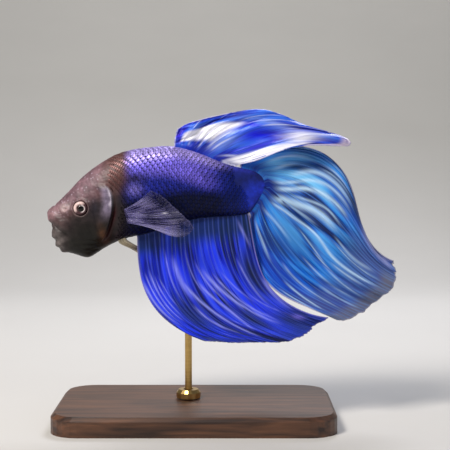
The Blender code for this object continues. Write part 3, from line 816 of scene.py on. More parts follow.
# %% Eye colours
# The cornea is wet and clear, so over the dull iris lies a coat with a small sharp light in it.
PUPIL_PLACE = (0.20, -0.06)  # from the axis, tailwards and up
PUPIL_RADIUS = 0.56
PEARL_RADIUS = 0.68  # of the thin line round the pupil
IRIS_RADIUS = 0.80  # where the dark iris ends and the pearly rim begins
IRIS_FLECK = 0.4  # coarser than real flecks, which would not show
EYE_COLOURS = (
    ("rim", "#4c3237", 0.95),
    # a painted highlight on the rim's upper side
    ("crescent", "#f0d2ce", 0.95),
    ("pearl", "#efe4e4", 0.95),
    ("pupil", "#030304", 1.0),
)


def eye_masks(mesh):
    """Pupil, pearly line, rim, and a painted highlight on the rim's side towards the light."""
    x, _, z = point_coordinates(mesh)
    across, up = x - EYE_CENTRE[0], z - EYE_CENTRE[1]
    away = np.hypot(across, up)
    from_pupil = np.hypot(across - PUPIL_PLACE[0], up - PUPIL_PLACE[1])
    towards_light = (up - across) / np.maximum(away, 0.01) / math.sqrt(2)
    lit_rim = soft_step(away, IRIS_RADIUS - 0.08, IRIS_RADIUS + 0.12) * soft_step(away, 1.55, 1.30)
    return {
        "pupil": soft_step(from_pupil, PUPIL_RADIUS + 0.04, PUPIL_RADIUS - 0.04),
        "pearl": bell(from_pupil - PEARL_RADIUS, 0.09) * soft_step(across, -0.1, 0.5),
        "rim": soft_step(away, IRIS_RADIUS - 0.10, IRIS_RADIUS + 0.10),
        # painted highlight on the rim's side towards the light
        "crescent": lit_rim * soft_step(towards_light, -0.15, 0.50),
    }


eye_look = {"Roughness": 0.25, "Specular IOR Level": 0.2, "Coat Weight": 0.35, "Coat Roughness": 0.03}
cornea, tree, shader = new_material("cornea_over_iris", eye_look)
place = add_node(tree, "ShaderNodeTexCoord")
flecks = {"Vector": place.outputs["Object"], "Scale": 1 / (IRIS_FLECK * MM), "Detail": 3.0}
fleck = add_node(tree, "ShaderNodeTexNoise", flecks)
iris = {0: fleck.outputs["Fac"], 6: colour("#1c1214"), 7: colour("#4a3234")}
ground = add_node(tree, "ShaderNodeMix", iris, data_type="RGBA").outputs[2]
tree.links.new(layered_colour(tree, ground, EYE_COLOURS), shader.inputs["Base Color"])
for word, side in (("left", -1), ("right", 1)):
    eye = mesh_object(f"eyeball_{word}", *closed_tube(eye_rows(side)))
    for label, values in eye_masks(eye.data).items():
        set_mask(eye.data, label, values)
    eye.data.materials.append(cornea)
    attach(eye, "root")
    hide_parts(f"eye_{word}")
    print(eye.name, len(eye.data.polygons), "faces")

# %% [markdown]
# ## Scales
# A betta has about thirty scales from gill to tail, each a thin shield rooted at its front and free at
# its rear, laid like roof tiles with neighbouring rows half a scale apart. A bump pattern would give the
# lines but not the stepped outline of the back, so the scales are real. One shield is modelled once, and
# Geometry Nodes set it on a guide of root points, turned so that it lies along the body. The guide's rows
# keep an even distance from the side line, and run out at back and belly as real rows do.

# %% One scale
SCALE_PITCH = 1.15  # from one scale to the next in a row
SCALE_ROW = 0.84  # from one row to the next
SCALE_FRONT, SCALE_REAR = -1.2, 0.6  # from the root point, tailwards
SCALE_SHOULDER = -0.4  # where the flanks start to round towards the rear
SCALE_STATIONS = (SCALE_FRONT, -0.75, SCALE_SHOULDER, -0.05, 0.25, 0.45, SCALE_REAR)
SCALE_COLUMNS = 4
SCALE_WALL = 0.05
SCALE_SLOPE = (-0.09, 0.08)  # the front is buried this deep, and the rear stands this high
SCALE_CROWN = 0.03  # the flanks lie this much lower than the middle
LAYOUT_ROWS = 2.2  # width of the flat layout, in rows of scales


def scale_half_width(x):
    """Straight flanks and a rounded, slightly pointed rear edge."""
    rear = np.clip((x - SCALE_SHOULDER) / (SCALE_REAR - SCALE_SHOULDER), 0, 1)
    return 0.12 * SCALE_ROW + 0.9 * SCALE_ROW * (1 - rear**1.7) ** (1 / 1.5)


def scale_template():
    """One closed shield along +X with its outer face to +Z, and its flat layout in a UV map."""
    outer = []
    for x in SCALE_STATIONS:
        reach = scale_half_width(x)
        lift = np.interp(x, (SCALE_FRONT, SCALE_REAR), SCALE_SLOPE)
        for share in np.linspace(-1, 1, SCALE_COLUMNS + 1):
            outer.append((x, share * reach, lift - SCALE_CROWN * share**2))
    outer = np.array(outer)
    points = np.concatenate([outer, outer - (0, 0, SCALE_WALL)])
    wide, total, last = SCALE_COLUMNS + 1, len(outer), len(SCALE_STATIONS) - 1
    corners = [i * wide + j for i in range(last) for j in range(SCALE_COLUMNS)]
    faces = [(a, a + wide, a + wide + 1, a + 1) for a in corners]
    rim = list(range(wide)) + [i * wide + wide - 1 for i in range(1, last + 1)]
    rim += [total - wide + j for j in range(wide - 2, -1, -1)]
    rim += [i * wide for i in range(last - 1, 0, -1)]
    faces += [(a, b, total + b, total + a) for a, b in zip(rim, rim[1:] + rim[:1])]
    faces.append([total + k for k in rim])
    made = mesh_object("one_scale", points, faces)
    layout = made.data.uv_layers.new(name="leaf")
    for loop in made.data.loops:
        x, y, _ = points[loop.vertex_index]
        along = (x - SCALE_FRONT) / (SCALE_REAR - SCALE_FRONT)
        layout.data[loop.index].uv = (along, 0.5 + y / (LAYOUT_ROWS * SCALE_ROW))
    return made


one_scale = scale_template()
print("one scale:", len(one_scale.data.polygons), "faces")

# %% Where scales grow
FLAT_ENOUGH = 4.0  # where the body bends tighter than this radius across a scale, the scale is narrower
NARROWEST = 0.55  # but never less than this share of its width
BARE_END = 2.0  # no scales on the last stretch of the hull


def scale_size(x):
    """Scales are smaller on the nape and towards the tail."""
    return np.interp(x, (-20, -17, -14, -10, 4, 11), (0.55, 0.72, 0.90, 1.0, 1.0, 0.74))


def scaled_area(x, z):
    """Whether scales grow at a place: on the trunk behind the gill slit, and on nape and crown."""
    trunk = x > np.interp(z, (36, 40, 44, 47, 50), (-16.6, -15.9, -15.3, -15.2, -17.2))
    crown = (x > np.interp(z, (50.2, 56.0), (-17.6, -20.0))) & (z > 50.2)
    rear = np.interp(z, (44.0, 48.0, 50.0, 54.0), (11.4, 10.6, 8.2, 8.0))
    return (trunk | crown) & (x < rear) & (before_gill_edge(x, z) < -0.9)


def bend_radius(line, i, reach=6):
    """Radius of the bend of a line of points near its point i."""
    i = min(max(i, reach), len(line) - 1 - reach)
    before, after = line[i] - line[i - reach], line[i + reach] - line[i]
    steps = np.linalg.norm(before), np.linalg.norm(after)
    return sum(steps) / 2 / math.acos(min(before @ after / (steps[0] * steps[1]), 0.999999))


def scale_stations():
    """Distances along the hull of the columns of scales, half a scale apart."""
    stations, start = [], 0.0
    while start < HULL_LENGTH - BARE_END:
        stations.append(start)
        ring = hull(np.array([start]), np.array([[0.0]]))
        start += SCALE_PITCH / 2 * float(scale_size(ring[0, 0, 0]))
    return stations


print("scale columns:", len(scale_stations()))

# %% Root points of the scales
NEIGHBOUR = 0.2  # the lines this far before and behind give a scale its direction
UNWRAP_MARGIN = 0.02
QUARTER = np.linspace(-math.pi / 2, math.pi / 2, 241)  # from belly to back along one side


def column_roots(where, turns, number):
    """The scales of one column on one side: root, outward and tailward direction, size, unwrap."""
    lines = hull(where + np.array([-NEIGHBOUR, 0.0, NEIGHBOUR]), np.broadcast_to(turns, (3, len(turns))))
    arc = np.concatenate([[0], np.cumsum(np.linalg.norm(np.diff(lines[1], axis=0), axis=1))])
    half = len(arc) // 2
    arc -= arc[half]
    size = float(scale_size(lines[1, half, 0]))
    stride = np.linalg.norm(lines[2] - lines[0], axis=1)
    for row in range(math.ceil(arc[0] / (SCALE_ROW * size)), int(arc[-1] / (SCALE_ROW * size)) + 1):
        at = np.interp(row * SCALE_ROW * size, arc, np.arange(len(arc)))
        i = min(max(int(at), 1), len(arc) - 2)
        point = lines[1, i] + (lines[1, i + 1] - lines[1, i]) * (at - i)
        if (row + number) % 2 or not scaled_area(point[0], point[2]):
            continue
        tailward = lines[2, i] - lines[0, i]
        outward = np.cross(lines[1, i + 1] - lines[1, i - 1], tailward)
        outward *= math.copysign(1, outward[1] * (point[1] - sway(point[0])))
        outward /= np.linalg.norm(outward)
        longer = max(stride[i] / stride[half], 0.9)
        narrower = np.clip(bend_radius(lines[1], i) / FLAT_ENOUGH, NARROWEST, 1.0)
        along = (1 - 2 * UNWRAP_MARGIN) * where / HULL_LENGTH
        around = (0.5 - UNWRAP_MARGIN) * (turns[i] % (2 * math.pi)) / math.pi
        shape = (size * longer, size * narrower, 0.5 + 0.5 * size)
        unwrap = (UNWRAP_MARGIN + along, UNWRAP_MARGIN + around, 0.0)
        yield point - outward * COAT_DEPTH, outward, tailward, shape, unwrap


def scale_roots():
    """All roots, their two directions, sizes, places on the unwrap, and a tone for each scale."""
    tones = np.random.default_rng(6)
    roots = []
    for number, where in enumerate(scale_stations()):
        for turns in (QUARTER, math.pi - QUARTER):
            for root in column_roots(where, turns, number):
                roots.append((*root, [tones.uniform(0.0, 1.0)] * 3))
    return [np.array(column) for column in zip(*roots)]


root_points, *columns = scale_roots()
print("scales:", len(root_points), "roots")

# %% Guide of the scales


def guide_mesh(name, points, fields, edges=()):
    """Loose points or edges for Geometry Nodes to work on, with a number or a vector at each point."""
    mesh = bpy.data.meshes.new(name)
    mesh.from_pydata((np.asarray(points) * MM).tolist(), edges, [])
    for label, values in fields.items():
        values = np.array(values, np.float32)
        kind, slot = ("FLOAT", "value") if values.ndim == 1 else ("FLOAT_VECTOR", "vector")
        mesh.attributes.new(label, kind, "POINT").data.foreach_set(slot, values.ravel())
    return add_object(name, mesh)


scale_fields = dict(zip(("outward", "tailward", "size", "unwrap", "tone"), columns))
guide = guide_mesh("scale_roots", root_points, scale_fields)
print("each root has its", ", ".join(scale_fields))

# %% Geometry trees


def node_group(name, inputs):
    """An empty geometry tree with named inputs, and its input and output nodes."""
    group = bpy.data.node_groups.new(name, "GeometryNodeTree")
    group.interface.new_socket("Geometry", in_out="INPUT", socket_type="NodeSocketGeometry")
    for label, kind in inputs.items():
        group.interface.new_socket(label, in_out="INPUT", socket_type=kind)
    group.interface.new_socket("Geometry", in_out="OUTPUT", socket_type="NodeSocketGeometry")
    return group, group.nodes.new("NodeGroupInput"), group.nodes.new("NodeGroupOutput")


def run_group(obj, group, values, name):
    """The plain mesh that the group makes from an object, as a new object. The guide is removed."""
    modifier = obj.modifiers.new("nodes", "NODES")
    modifier.node_group = group
    sockets = {s.name: s.identifier for s in group.interface.items_tree if s.in_out == "INPUT"}
    for label, value in values.items():
        modifier[sockets[label]] = value
    graph = bpy.context.evaluated_depsgraph_get()
    mesh = bpy.data.meshes.new_from_object(obj.evaluated_get(graph))
    mesh.name = name
    bpy.data.objects.remove(obj)
    return add_object(name, mesh)


print("the trees run in Blender", bpy.app.version_string)

# %% Geometry Nodes that set the scales
BAKE_PATCH = 0.003  # side of each scale's patch on the unwrap, as a share of it


def scale_group():
    """The tree that sets a scale on every root and gives it a patch of the unwrap."""
    inputs = {"Scale": "NodeSocketObject", "Size": "NodeSocketFloat", "Finish": "NodeSocketMaterial"}
    group, given, result = node_group("lay_scales", inputs)
    fields = {}
    for label in ("outward", "tailward", "size", "unwrap"):
        read = add_node(group, "GeometryNodeInputNamedAttribute", {"Name": label}, data_type="FLOAT_VECTOR")
        fields[label] = read.outputs["Attribute"]
    up = add_node(group, "FunctionNodeAlignRotationToVector", {"Vector": fields["outward"]}, axis="Z")
    turned = {"Rotation": up.outputs[0], "Vector": fields["tailward"]}
    facing = add_node(group, "FunctionNodeAlignRotationToVector", turned, axis="X", pivot_axis="Z")
    grown = {0: fields["size"], "Scale": given.outputs["Size"]}
    whole = add_node(group, "ShaderNodeVectorMath", grown, operation="SCALE")
    shape = add_node(group, "GeometryNodeObjectInfo", {"Object": given.outputs["Scale"]})
    set_on = {
        "Points": given.outputs["Geometry"],
        "Instance": shape.outputs["Geometry"],
        "Rotation": facing.outputs[0],
        "Scale": whole.outputs[0],
    }
    laid = add_node(group, "GeometryNodeInstanceOnPoints", set_on)
    real = add_node(group, "GeometryNodeRealizeInstances", {0: laid.outputs[0]})
    leaf = add_node(group, "GeometryNodeInputNamedAttribute", {"Name": "leaf"}, data_type="FLOAT_VECTOR")
    small = {0: leaf.outputs["Attribute"], "Scale": BAKE_PATCH}
    patch = add_node(group, "ShaderNodeVectorMath", small, operation="SCALE")
    moved = {0: patch.outputs[0], 1: fields["unwrap"]}
    spot = add_node(group, "ShaderNodeVectorMath", moved, operation="ADD")
    stored = {"Geometry": real.outputs[0], "Name": "OFBake", "Value": spot.outputs[0]}
    mapped = add_node(group, "GeometryNodeStoreNamedAttribute", stored, data_type="FLOAT2", domain="CORNER")
    finish = {"Geometry": mapped.outputs[0], "Material": given.outputs["Finish"]}
    painted = add_node(group, "GeometryNodeSetMaterial", finish)
    group.links.new(painted.outputs[0], result.inputs[0])
    return group


lay_scales = scale_group()
print("tree", lay_scales.name, "has", len(lay_scales.nodes), "nodes")

# %% [markdown]
# Each scale is painted with shade where it comes out from under the one in front, and with a highlight that
# grows towards its free edge. Two slanting distances in the scale's own flat layout give both, so the
# pattern turns with every scale.

# %% Scale finish
# The blue comes from stacks of thin crystal plates under clear skin, which give it a metal's depth: a
# little metallic, with a broad soft highlight that moves from scale to scale.


def leaf_edges(tree):
    """How near a place on a scale is to the scales in front of it (1 there), and to its own free edge."""
    leaf = add_node(tree, "ShaderNodeUVMap", uv_map="leaf")
    axes = add_node(tree, "ShaderNodeSeparateXYZ", {0: leaf.outputs[0]})
    half_pitch = SCALE_PITCH / 2
    long = {0: axes.outputs[0], 1: 0.0, 2: 1.0, 3: SCALE_FRONT / half_pitch, 4: SCALE_REAR / half_pitch}
    ahead = add_node(tree, "ShaderNodeMapRange", long).outputs[0]
    across = add_node(tree, "ShaderNodeMath", {0: axes.outputs[1], 1: 0.5}, operation="SUBTRACT")
    wide = add_node(tree, "ShaderNodeMath", {0: across.outputs[0]}, operation="ABSOLUTE")
    in_rows = {0: wide.outputs[0], 1: LAYOUT_ROWS}
    beside = add_node(tree, "ShaderNodeMath", in_rows, operation="MULTIPLY").outputs[0]
    front = add_node(tree, "ShaderNodeMath", {0: beside, 1: ahead}, operation="SUBTRACT")
    rear = add_node(tree, "ShaderNodeMath", {0: beside, 1: ahead}, operation="ADD")
    return front.outputs[0], rear.outputs[0]


def tile_shading(tree):
    """How bright a place on a scale is drawn: painted shade under the scales in front, weaker along the
    back's crest, a painted highlight towards the free edge, a thin dark line along it, and a tone of each
    scale's own. The nape's bare-looking scales show it less."""
    front, rear = leaf_edges(tree)
    under = {0: front, 1: 0.25, 2: 0.90, 3: 1.0, 4: 0.05}
    shade = add_node(tree, "ShaderNodeMapRange", under, interpolation_type="SMOOTHSTEP")
    brighter = {0: rear, 1: 0.1, 2: 0.8, 3: 0.80, 4: 1.40}
    free_edge_highlight = add_node(tree, "ShaderNodeMapRange", brighter, interpolation_type="SMOOTHSTEP")
    edge = add_node(tree, "ShaderNodeMapRange", {0: rear, 1: 0.98, 2: 1.10, 3: 1.0, 4: 0.25})
    tone = add_node(tree, "ShaderNodeAttribute", attribute_name="tone")
    own = add_node(tree, "ShaderNodeMapRange", {0: tone.outputs["Fac"], 3: 0.72, 4: 1.22})
    crest = add_node(tree, "ShaderNodeAttribute", attribute_name="crest_line")
    bared = {0: crest.outputs["Fac"], 2: shade.outputs[0], 3: 0.8}
    level = add_node(tree, "ShaderNodeMix", bared).outputs[0]
    for part in (edge, own, free_edge_highlight):
        both = {0: level, 1: part.outputs[0]}
        level = add_node(tree, "ShaderNodeMath", both, operation="MULTIPLY").outputs[0]
    nape = add_node(tree, "ShaderNodeAttribute", attribute_name="nape")
    faded = add_node(tree, "ShaderNodeMath", {0: nape.outputs["Fac"], 1: 0.75}, operation="MULTIPLY")
    return add_node(tree, "ShaderNodeMix", {0: faded.outputs[0], 2: level, 3: 1.0}).outputs[0]


scale_look = {"Roughness": 0.34, "Metallic": 0.3, "Specular IOR Level": 0.15}
scale_coat = {"Coat Weight": 0.05, "Coat Roughness": 0.2}
scale_finish, tree, shader = new_material("iridescent_scale", scale_look | scale_coat)
_, ground = body_ground(tree)
painted = layered_colour(tree, ground, BODY_COLOURS)
tinted = {0: 1.0, 6: painted, 7: tile_shading(tree)}
tiled = add_node(tree, "ShaderNodeMix", tinted, data_type="RGBA", blend_type="MULTIPLY")
tree.links.new(tiled.outputs[2], shader.inputs["Base Color"])
print("scale finish has", len(tree.nodes), "nodes")

# %% Lay the scales
scale_inputs = {"Scale": one_scale, "Size": 1.0, "Finish": scale_finish}
scales = run_group(guide, lay_scales, scale_inputs, "scales")
bpy.data.objects.remove(one_scale)
paint(scales.data)
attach(scales, "root")
print("scales:", len(scales.data.polygons), "faces,", [layer.name for layer in scales.data.uv_layers])

# %% [markdown]
# ## Fins
# A fin is a fan of bony rays with skin between them. The rays leave the base one by one, fork towards the
# margin, and the skin is pleated so that the fan can close. A cloth simulation would hang like cloth,
# which a fin held open by its rays does not. So the same guide rays as in the solids spread the sheet,
# the same waves fold its depth, and then the pleats and the rays are added at their real fineness, which
# is far below what the solids hold.

# %% Fin guide rays
ROOT_GAP = 0.35  # the fins' roots stand this far outside the body's outline
# A base names the outline and the x at its two ends. A ray's key is its place across the fin, and its row
# has its length and its direction at root, one third, two thirds and tip (0 is tailwards, 90 is up).
DORSAL_BASE = (("back", -4.4), ("back", 8.5))
DORSAL_RAYS = {
    0.00: (3.4, 86, 80, 74, 66),
    0.14: (8.8, 62, 51, 40, 26),
    0.28: (17.2, 49, 38, 21, 6),
    0.42: (23.2, 42, 29, 5, -22),
    0.56: (27.0, 34, 22, -1, -16),
    0.70: (28.8, 22, 18, 1, -22),
    0.85: (24.2, 12, 18, 4, -16),
    1.00: (13.4, 0, 20, 22, 4),
}
CAUDAL_BASE = (("back", 9.4), ("belly", 11.3))
CAUDAL_RAYS = {
    0.00: (48.0, 36, -16, -76, -14),
    0.17: (43.4, 34, -25, -71, -28),
    0.36: (36.2, -4, -35, -56, -24),
    0.55: (33.8, -42, -41, -43, -22),
    0.72: (33.4, -62, -50, -38, -20),
    0.87: (32.8, -80, -57, -33, -22),
    1.00: (32.2, -97, -66, -25, -26),
}
CAUDAL_ASIDE = 1.7  # its upper and lower edge pass this far behind the dorsal and anal fins
ANAL_BASE = (("belly", -12.2), ("belly", 11.2))
ANAL_RAYS = {
    0.00: (28.0, -91, -74, -40, -18),
    0.15: (30.6, -86, -74, -37, -14),
    0.35: (35.6, -92, -73, -30, -8),
    0.55: (34.8, -90, -67, -34, -16),
    0.75: (32.8, -88, -67, -37, -14),
    0.90: (30.6, -85, -71, -36, -16),
    1.00: (30.2, -80, -73, -35, -4),
}
PECTORAL_BASE = ((-14.3, 44.8), (-13.1, 41.7))
PECTORAL_RAYS = {
    0.00: (6.8, 28, 32, 40, 42),
    0.30: (9.6, 6, 10, 13, 20),
    0.60: (12.0, -4, 0, 3, 2),
    0.85: (13.2, -8, -10, -9, 4),
    1.00: (11.2, -8, -16, -20, 4),
}
PELVIC_BASE = (("belly", -16.0), ("belly", -14.5))
PELVIC_RAYS = {
    "left": {0.00: (12.6, -31, -27, -24, -20), 1.00: (11.2, -32, -29, -26, -22)},
    "right": {0.00: (13.4, -33, -33, -29, -24), 1.00: (12.0, -34, -34, -31, -26)},
}


print("fins spread from", len(DORSAL_RAYS), "+", len(CAUDAL_RAYS), "+", len(ANAL_RAYS), "guide rays")

# %% [markdown]
# Each fin's sheet is worked out on a grid. One number, u, runs across the fin from its first ray to its
# last, and another, v, runs from root to margin. The guide rays give x and z at every place, and a depth
# function folds the sheet in y.

# %% Fan and folds


def wave(u, turns, phase=0.0):
    """A wave across the fin, with its number of turns and its start."""
    return np.sin(2 * math.pi * (turns * u + phase))


def outline_points(base, count):
    """Points along the body's side outline from one end of a fin's base to the other, just outside the
    flesh, and the directions that lead out of the flesh there."""
    outline = np.concatenate([back_line, belly_line[-2::-1]])
    at = np.concatenate([[0], np.cumsum(np.linalg.norm(np.diff(outline, axis=0), axis=1))])
    ends = []
    for line, x in base:
        if line == "back":
            ends.append(float(np.interp(x, back_line[:, 0], at[: len(back_line)])))
        else:
            ends.append(float(np.interp(x, belly_line[:-1, 0], at[len(back_line) :][::-1])))
    where = np.linspace(*ends, count)
    points = np.stack([np.interp(where, at, outline[:, k]) for k in (0, 1)], axis=1)
    along = np.gradient(points, axis=0) * np.sign(ends[1] - ends[0])
    out = np.stack([-along[:, 1], along[:, 0]], axis=1)
    out /= np.linalg.norm(out, axis=1)[:, None]
    return points + out * ROOT_GAP, out


def ray_fan(roots, rays, along):
    """(across, along, 2) points in x and z that the guide rays span from the roots."""
    v = np.linspace(0, 1, along)
    places, rows = np.array(list(rays)), np.array(list(rays.values()), float)
    u = np.linspace(0, 1, len(roots))
    rows = spline(places, rows, u) if len(places) > 2 else rows[0] + (rows[1] - rows[0]) * u[:, None]
    turn = spline((0, 1 / 3, 2 / 3, 1), np.radians(rows[:, 1:]).T, v).T
    centre = (turn[:, 1:] + turn[:, :-1]) / 2
    step = np.stack([np.cos(centre), np.sin(centre)], axis=2) * np.diff(v)[:, None]
    walked = np.concatenate([np.zeros((len(roots), 1, 2)), np.cumsum(step, axis=1)], axis=1)
    return roots[:, None] + walked * rows[:, 0][:, None, None]


def dorsal_depth(u, v):
    """Its front leans away to the right, and the long rear rays fall over to the left."""
    lean = 1.3 * np.sin(math.pi * np.clip(u / 0.45, 0, 1)) * v**1.3
    fold = -3.4 * np.clip((u - 0.35) / 0.65, 0, 1) ** 1.3 * np.sin(0.62 * math.pi * v)
    return lean + fold + 0.45 * v * wave(u, 5, 0.1)


def caudal_depth(u, v):
    """Two trains of broad folds, on a sheet whose upper part bulges to the left."""
    folds = 1.9 * v**1.3 * wave(u, 1.6, 0.16) + 1.0 * v**1.5 * wave(u + 0.25 * v, 2.7, 0.55)
    aside = CAUDAL_ASIDE * (u**6 + (1 - u) ** 6) * np.sin(math.pi * np.sqrt(v))
    return folds + aside - 1.6 * np.sin(math.pi * v) * (1 - u)


def anal_depth(u, v):
    """Broad folds on a sheet that hangs a little to the left, clear of the rod."""
    return 1.2 * v**1.4 * wave(u + 0.15 * v, 2.0, 0.30) - 2.3 * v**0.9


for label, fin_depth in (("dorsal", dorsal_depth), ("caudal", caudal_depth), ("anal", anal_depth)):
    depths = fin_depth(*np.meshgrid(np.linspace(0, 1, 60), np.linspace(0, 1, 60)))
    print(label, "folds from", round(depths.min(), 1), "to", round(depths.max(), 1), "mm")

# %% Rays and their forks
ROOT_DEPTH = 1.5  # how far the sheet runs on inside the flesh
ROOT_ROWS = 5
ROOT_SPAN = 0.05  # of v, below 0, that the sheet inside the flesh takes
FORK_LENGTH = 0.35  # of v, over which a ray's two halves part


def stems_of(count, seed, jitter=0.28):
    """Places of the rays across the fin's base: nearly even, as grown rays are."""
    shift = np.random.default_rng(seed).uniform(-jitter, jitter, count)
    return (np.arange(count) + 0.5 + shift) / count


def forked(stems, forks, v):
    """Place across the fin of every ray at each v. Each ray forks in two at each of the forks."""
    lines = np.repeat(stems[:, None], len(v), axis=1)
    spread = 0.25 / len(stems)
    for start in forks:
        open_up = spread * soft_step(v, start, start + FORK_LENGTH)
        lines = np.concatenate([lines - open_up, lines + open_up])
        spread /= 2
    return lines


def sheet_normal(points):
    """Unit normals of a grid of points, most of them facing right."""
    normal = np.cross(np.gradient(points, axis=0), np.gradient(points, axis=1))
    normal /= np.maximum(np.linalg.norm(normal, axis=2, keepdims=True), 1e-12)
    return normal * np.sign(np.median(normal[:, :, 1]))


def closed_sheet(points, half):
    """Points and faces of a thin closed sheet that reaches half to each side of the points."""
    across, along = points.shape[:2]
    shift = sheet_normal(points) * half[:, :, None]
    both = np.concatenate([(points + shift).reshape(-1, 3), (points - shift).reshape(-1, 3)])
    total = across * along
    index = np.arange(total).reshape(across, along)
    a, b = index[:-1, :-1].ravel(), index[1:, :-1].ravel()
    c, d = index[1:, 1:].ravel(), index[:-1, 1:].ravel()
    faces = np.concatenate([np.stack([a, b, c, d], 1), np.stack([a, d, c, b], 1) + total]).tolist()
    rim = list(index[:, 0]) + list(index[-1, 1:]) + list(index[-2::-1, -1]) + list(index[0, -2:0:-1])
    for a, b in zip(rim, rim[1:] + rim[:1]):
        faces.append((int(b), int(a), int(total + a), int(total + b)))
    return both, faces


print("a fin's sheet runs", ROOT_DEPTH, "mm into the flesh")

# %% Folds along the rays


def uneven(u, v, cells, rows, seed):
    """Smooth chance values from 0 to 1 in patches: so many across the fin, and so many along its rays."""
    chance = np.random.default_rng(seed).uniform(0, 1, (cells + 2, rows + 2))
    i, j = np.clip(u, 0, 1) * cells, np.clip(v, 0, 1) * rows
    a, b = i.astype(int), j.astype(int)
    s, t = soft_step(i - a, 0, 1), soft_step(j - b, 0, 1)
    low = chance[a, b] * (1 - t) + chance[a, b + 1] * t
    high = chance[a + 1, b] * (1 - t) + chance[a + 1, b + 1] * t
    return low * (1 - s) + high * s


def folded(u, v, folds, seed):
    """Heights from 0 to 1 of the long soft folds, which wander a little from the rays."""
    at = u + 0.35 / folds * wave(v, 1.2, 3 * u)
    broad = uneven(at, v, folds, 4, seed)
    slight = uneven(at, v, round(2.3 * folds), 6, seed + 1)
    return soft_step(0.62 * broad + 0.38 * slight, 0.20, 0.80)


FULL_PITCH = 3.2  # folds this far apart, in millimetres, have their full height
MARGIN_NOTCH = 0.005  # how far the margin falls back between two rays, as a share of the ray
MARGIN_WANDER = 0.005  # how far it comes and goes over the whole fin
RAY_RIDGE, RIDGE_WIDTH = 0.07, 0.2  # how far the skin rises over a ray


def margin_reach(u, stems):
    """How far each line of the sheet reaches, as a share of the full ray."""
    between = np.interp(u, stems, np.arange(len(stems)), left=-0.5, right=len(stems) - 0.5)
    slow = wave(u, 3.3, 0.2) + 0.6 * wave(u, 7.7, 0.6) + 0.4 * wave(u, 13.1, 0.1)
    notches = MARGIN_NOTCH * (0.5 - 0.5 * np.cos(2 * math.pi * between))
    return 1 - notches - MARGIN_WANDER * (2 + slow)


def cut_back(flat, reach):
    """The sheet with the points of each line spread evenly over its own reach."""
    along = flat.shape[1]
    ends = np.clip(np.linspace(0, 1, along)[None, :] * reach[:, None], 0, 1) * (along - 1)
    below = np.minimum(ends.astype(int), along - 2)
    part = (ends - below)[:, :, None]
    rows = np.arange(len(flat))[:, None]
    return flat[rows, below] * (1 - part) + flat[rows, below + 1] * part


print("a fin's margin comes and goes by up to", MARGIN_NOTCH + 4 * MARGIN_WANDER, "of a ray's length")

# %% One fin


class Fin:
    """One fin: its dense middle sheet, where its rays run, and how near each place is to a ray. A place on
    the sheet is u, from its first ray (0) to its last (1), and v, from root (0) to margin (1)."""

    def __init__(
        self, name, base, rays, depth, stems, forks, along, folds, pleat, deep=ROOT_DEPTH, sink=0.0,
    ):
        roots, out = base
        self.name = name
        self.u = np.linspace(0, 1, len(roots))
        flat = cut_back(ray_fan(roots, rays, along), margin_reach(self.u, stems))
        inner = np.linspace(1, 0, ROOT_ROWS, endpoint=False)
        buried = roots[:, None] - out[:, None] * (inner * deep)[None, :, None]
        flat = np.concatenate([buried, flat], axis=1)
        self.v = np.concatenate([-ROOT_SPAN * inner, np.linspace(0, 1, along)])
        place = np.clip(self.v, 0, 1)[None, :]
        y = depth(self.u[:, None], place) + sway(flat[:, :, 0]) * (1 - place) ** 2
        y = y + sink * np.clip(-self.v / ROOT_SPAN, 0, 1)
        plain = np.stack([flat[:, :, 0], y, flat[:, :, 1]], axis=2)
        self.width = np.linalg.norm(np.gradient(plain, axis=0), axis=2) * (len(roots) - 1)
        self.length = np.linalg.norm(np.diff(plain, axis=1), axis=2).sum(axis=1)
        self.lines = forked(stems, forks, np.clip(self.v, 0, 1))
        away = [np.abs(self.u[:, None] - line[None, :]) for line in self.lines]
        self.away = np.min(away, axis=0) * self.width
        self.crest = folded(self.u[:, None], place, folds, len(stems))
        pitch = np.minimum(self.width / folds, FULL_PITCH) / FULL_PITCH
        rise = pleat * pitch * self.crest * soft_step(self.v, 0.0, 0.22)[None, :]
        ridge = RAY_RIDGE * bell(self.away, RIDGE_WIDTH) * soft_step(self.v, 0.02, 0.2)[None, :]
        self.points = plain - np.array([0, 1, 0]) * (rise + ridge)[:, :, None]

    def at(self, u, v):
        """Points on the sheet at places (u, v), between its grid points."""
        i = np.clip(u * (len(self.u) - 1), 0, len(self.u) - 1.001)
        j = np.clip(np.interp(v, self.v, np.arange(len(self.v))), 0, len(self.v) - 1.001)
        a, b = i.astype(int), j.astype(int)
        s, t = (i - a)[:, None], (j - b)[:, None]
        low = self.points[a, b] * (1 - t) + self.points[a, b + 1] * t
        high = self.points[a + 1, b] * (1 - t) + self.points[a + 1, b + 1] * t
        return low * (1 - s) + high * s


print("the sheet has", ROOT_ROWS, "rows of points inside the flesh")

# %% Spread the large fins
dorsal = Fin(
    "dorsal", outline_points(DORSAL_BASE, 330), DORSAL_RAYS, dorsal_depth, stems_of(12, seed=3), (0.35,),
    along=90, folds=9, pleat=0.7,
)
caudal = Fin(
    "caudal", outline_points(CAUDAL_BASE, 420), CAUDAL_RAYS, caudal_depth, stems_of(18, seed=5), (0.35,),
    along=100, folds=15, pleat=1.1,
)
anal = Fin(
    "anal", outline_points(ANAL_BASE, 420), ANAL_RAYS, anal_depth, stems_of(24, seed=8), (0.4,),
    along=96, folds=19, pleat=0.8,
)
print("ray tips:", {fin.name: len(fin.lines) for fin in (dorsal, caudal, anal)})

# %% [markdown]
# A real fin's skin is thinner than paper, and the middle sheet has no thickness at all, which a solid piece
# needs. A Solidify modifier would give it an even one, but this skin swells at its root. So two copies of
# the sheet are moved apart, by the thickness wanted at each place, and joined round the rim.

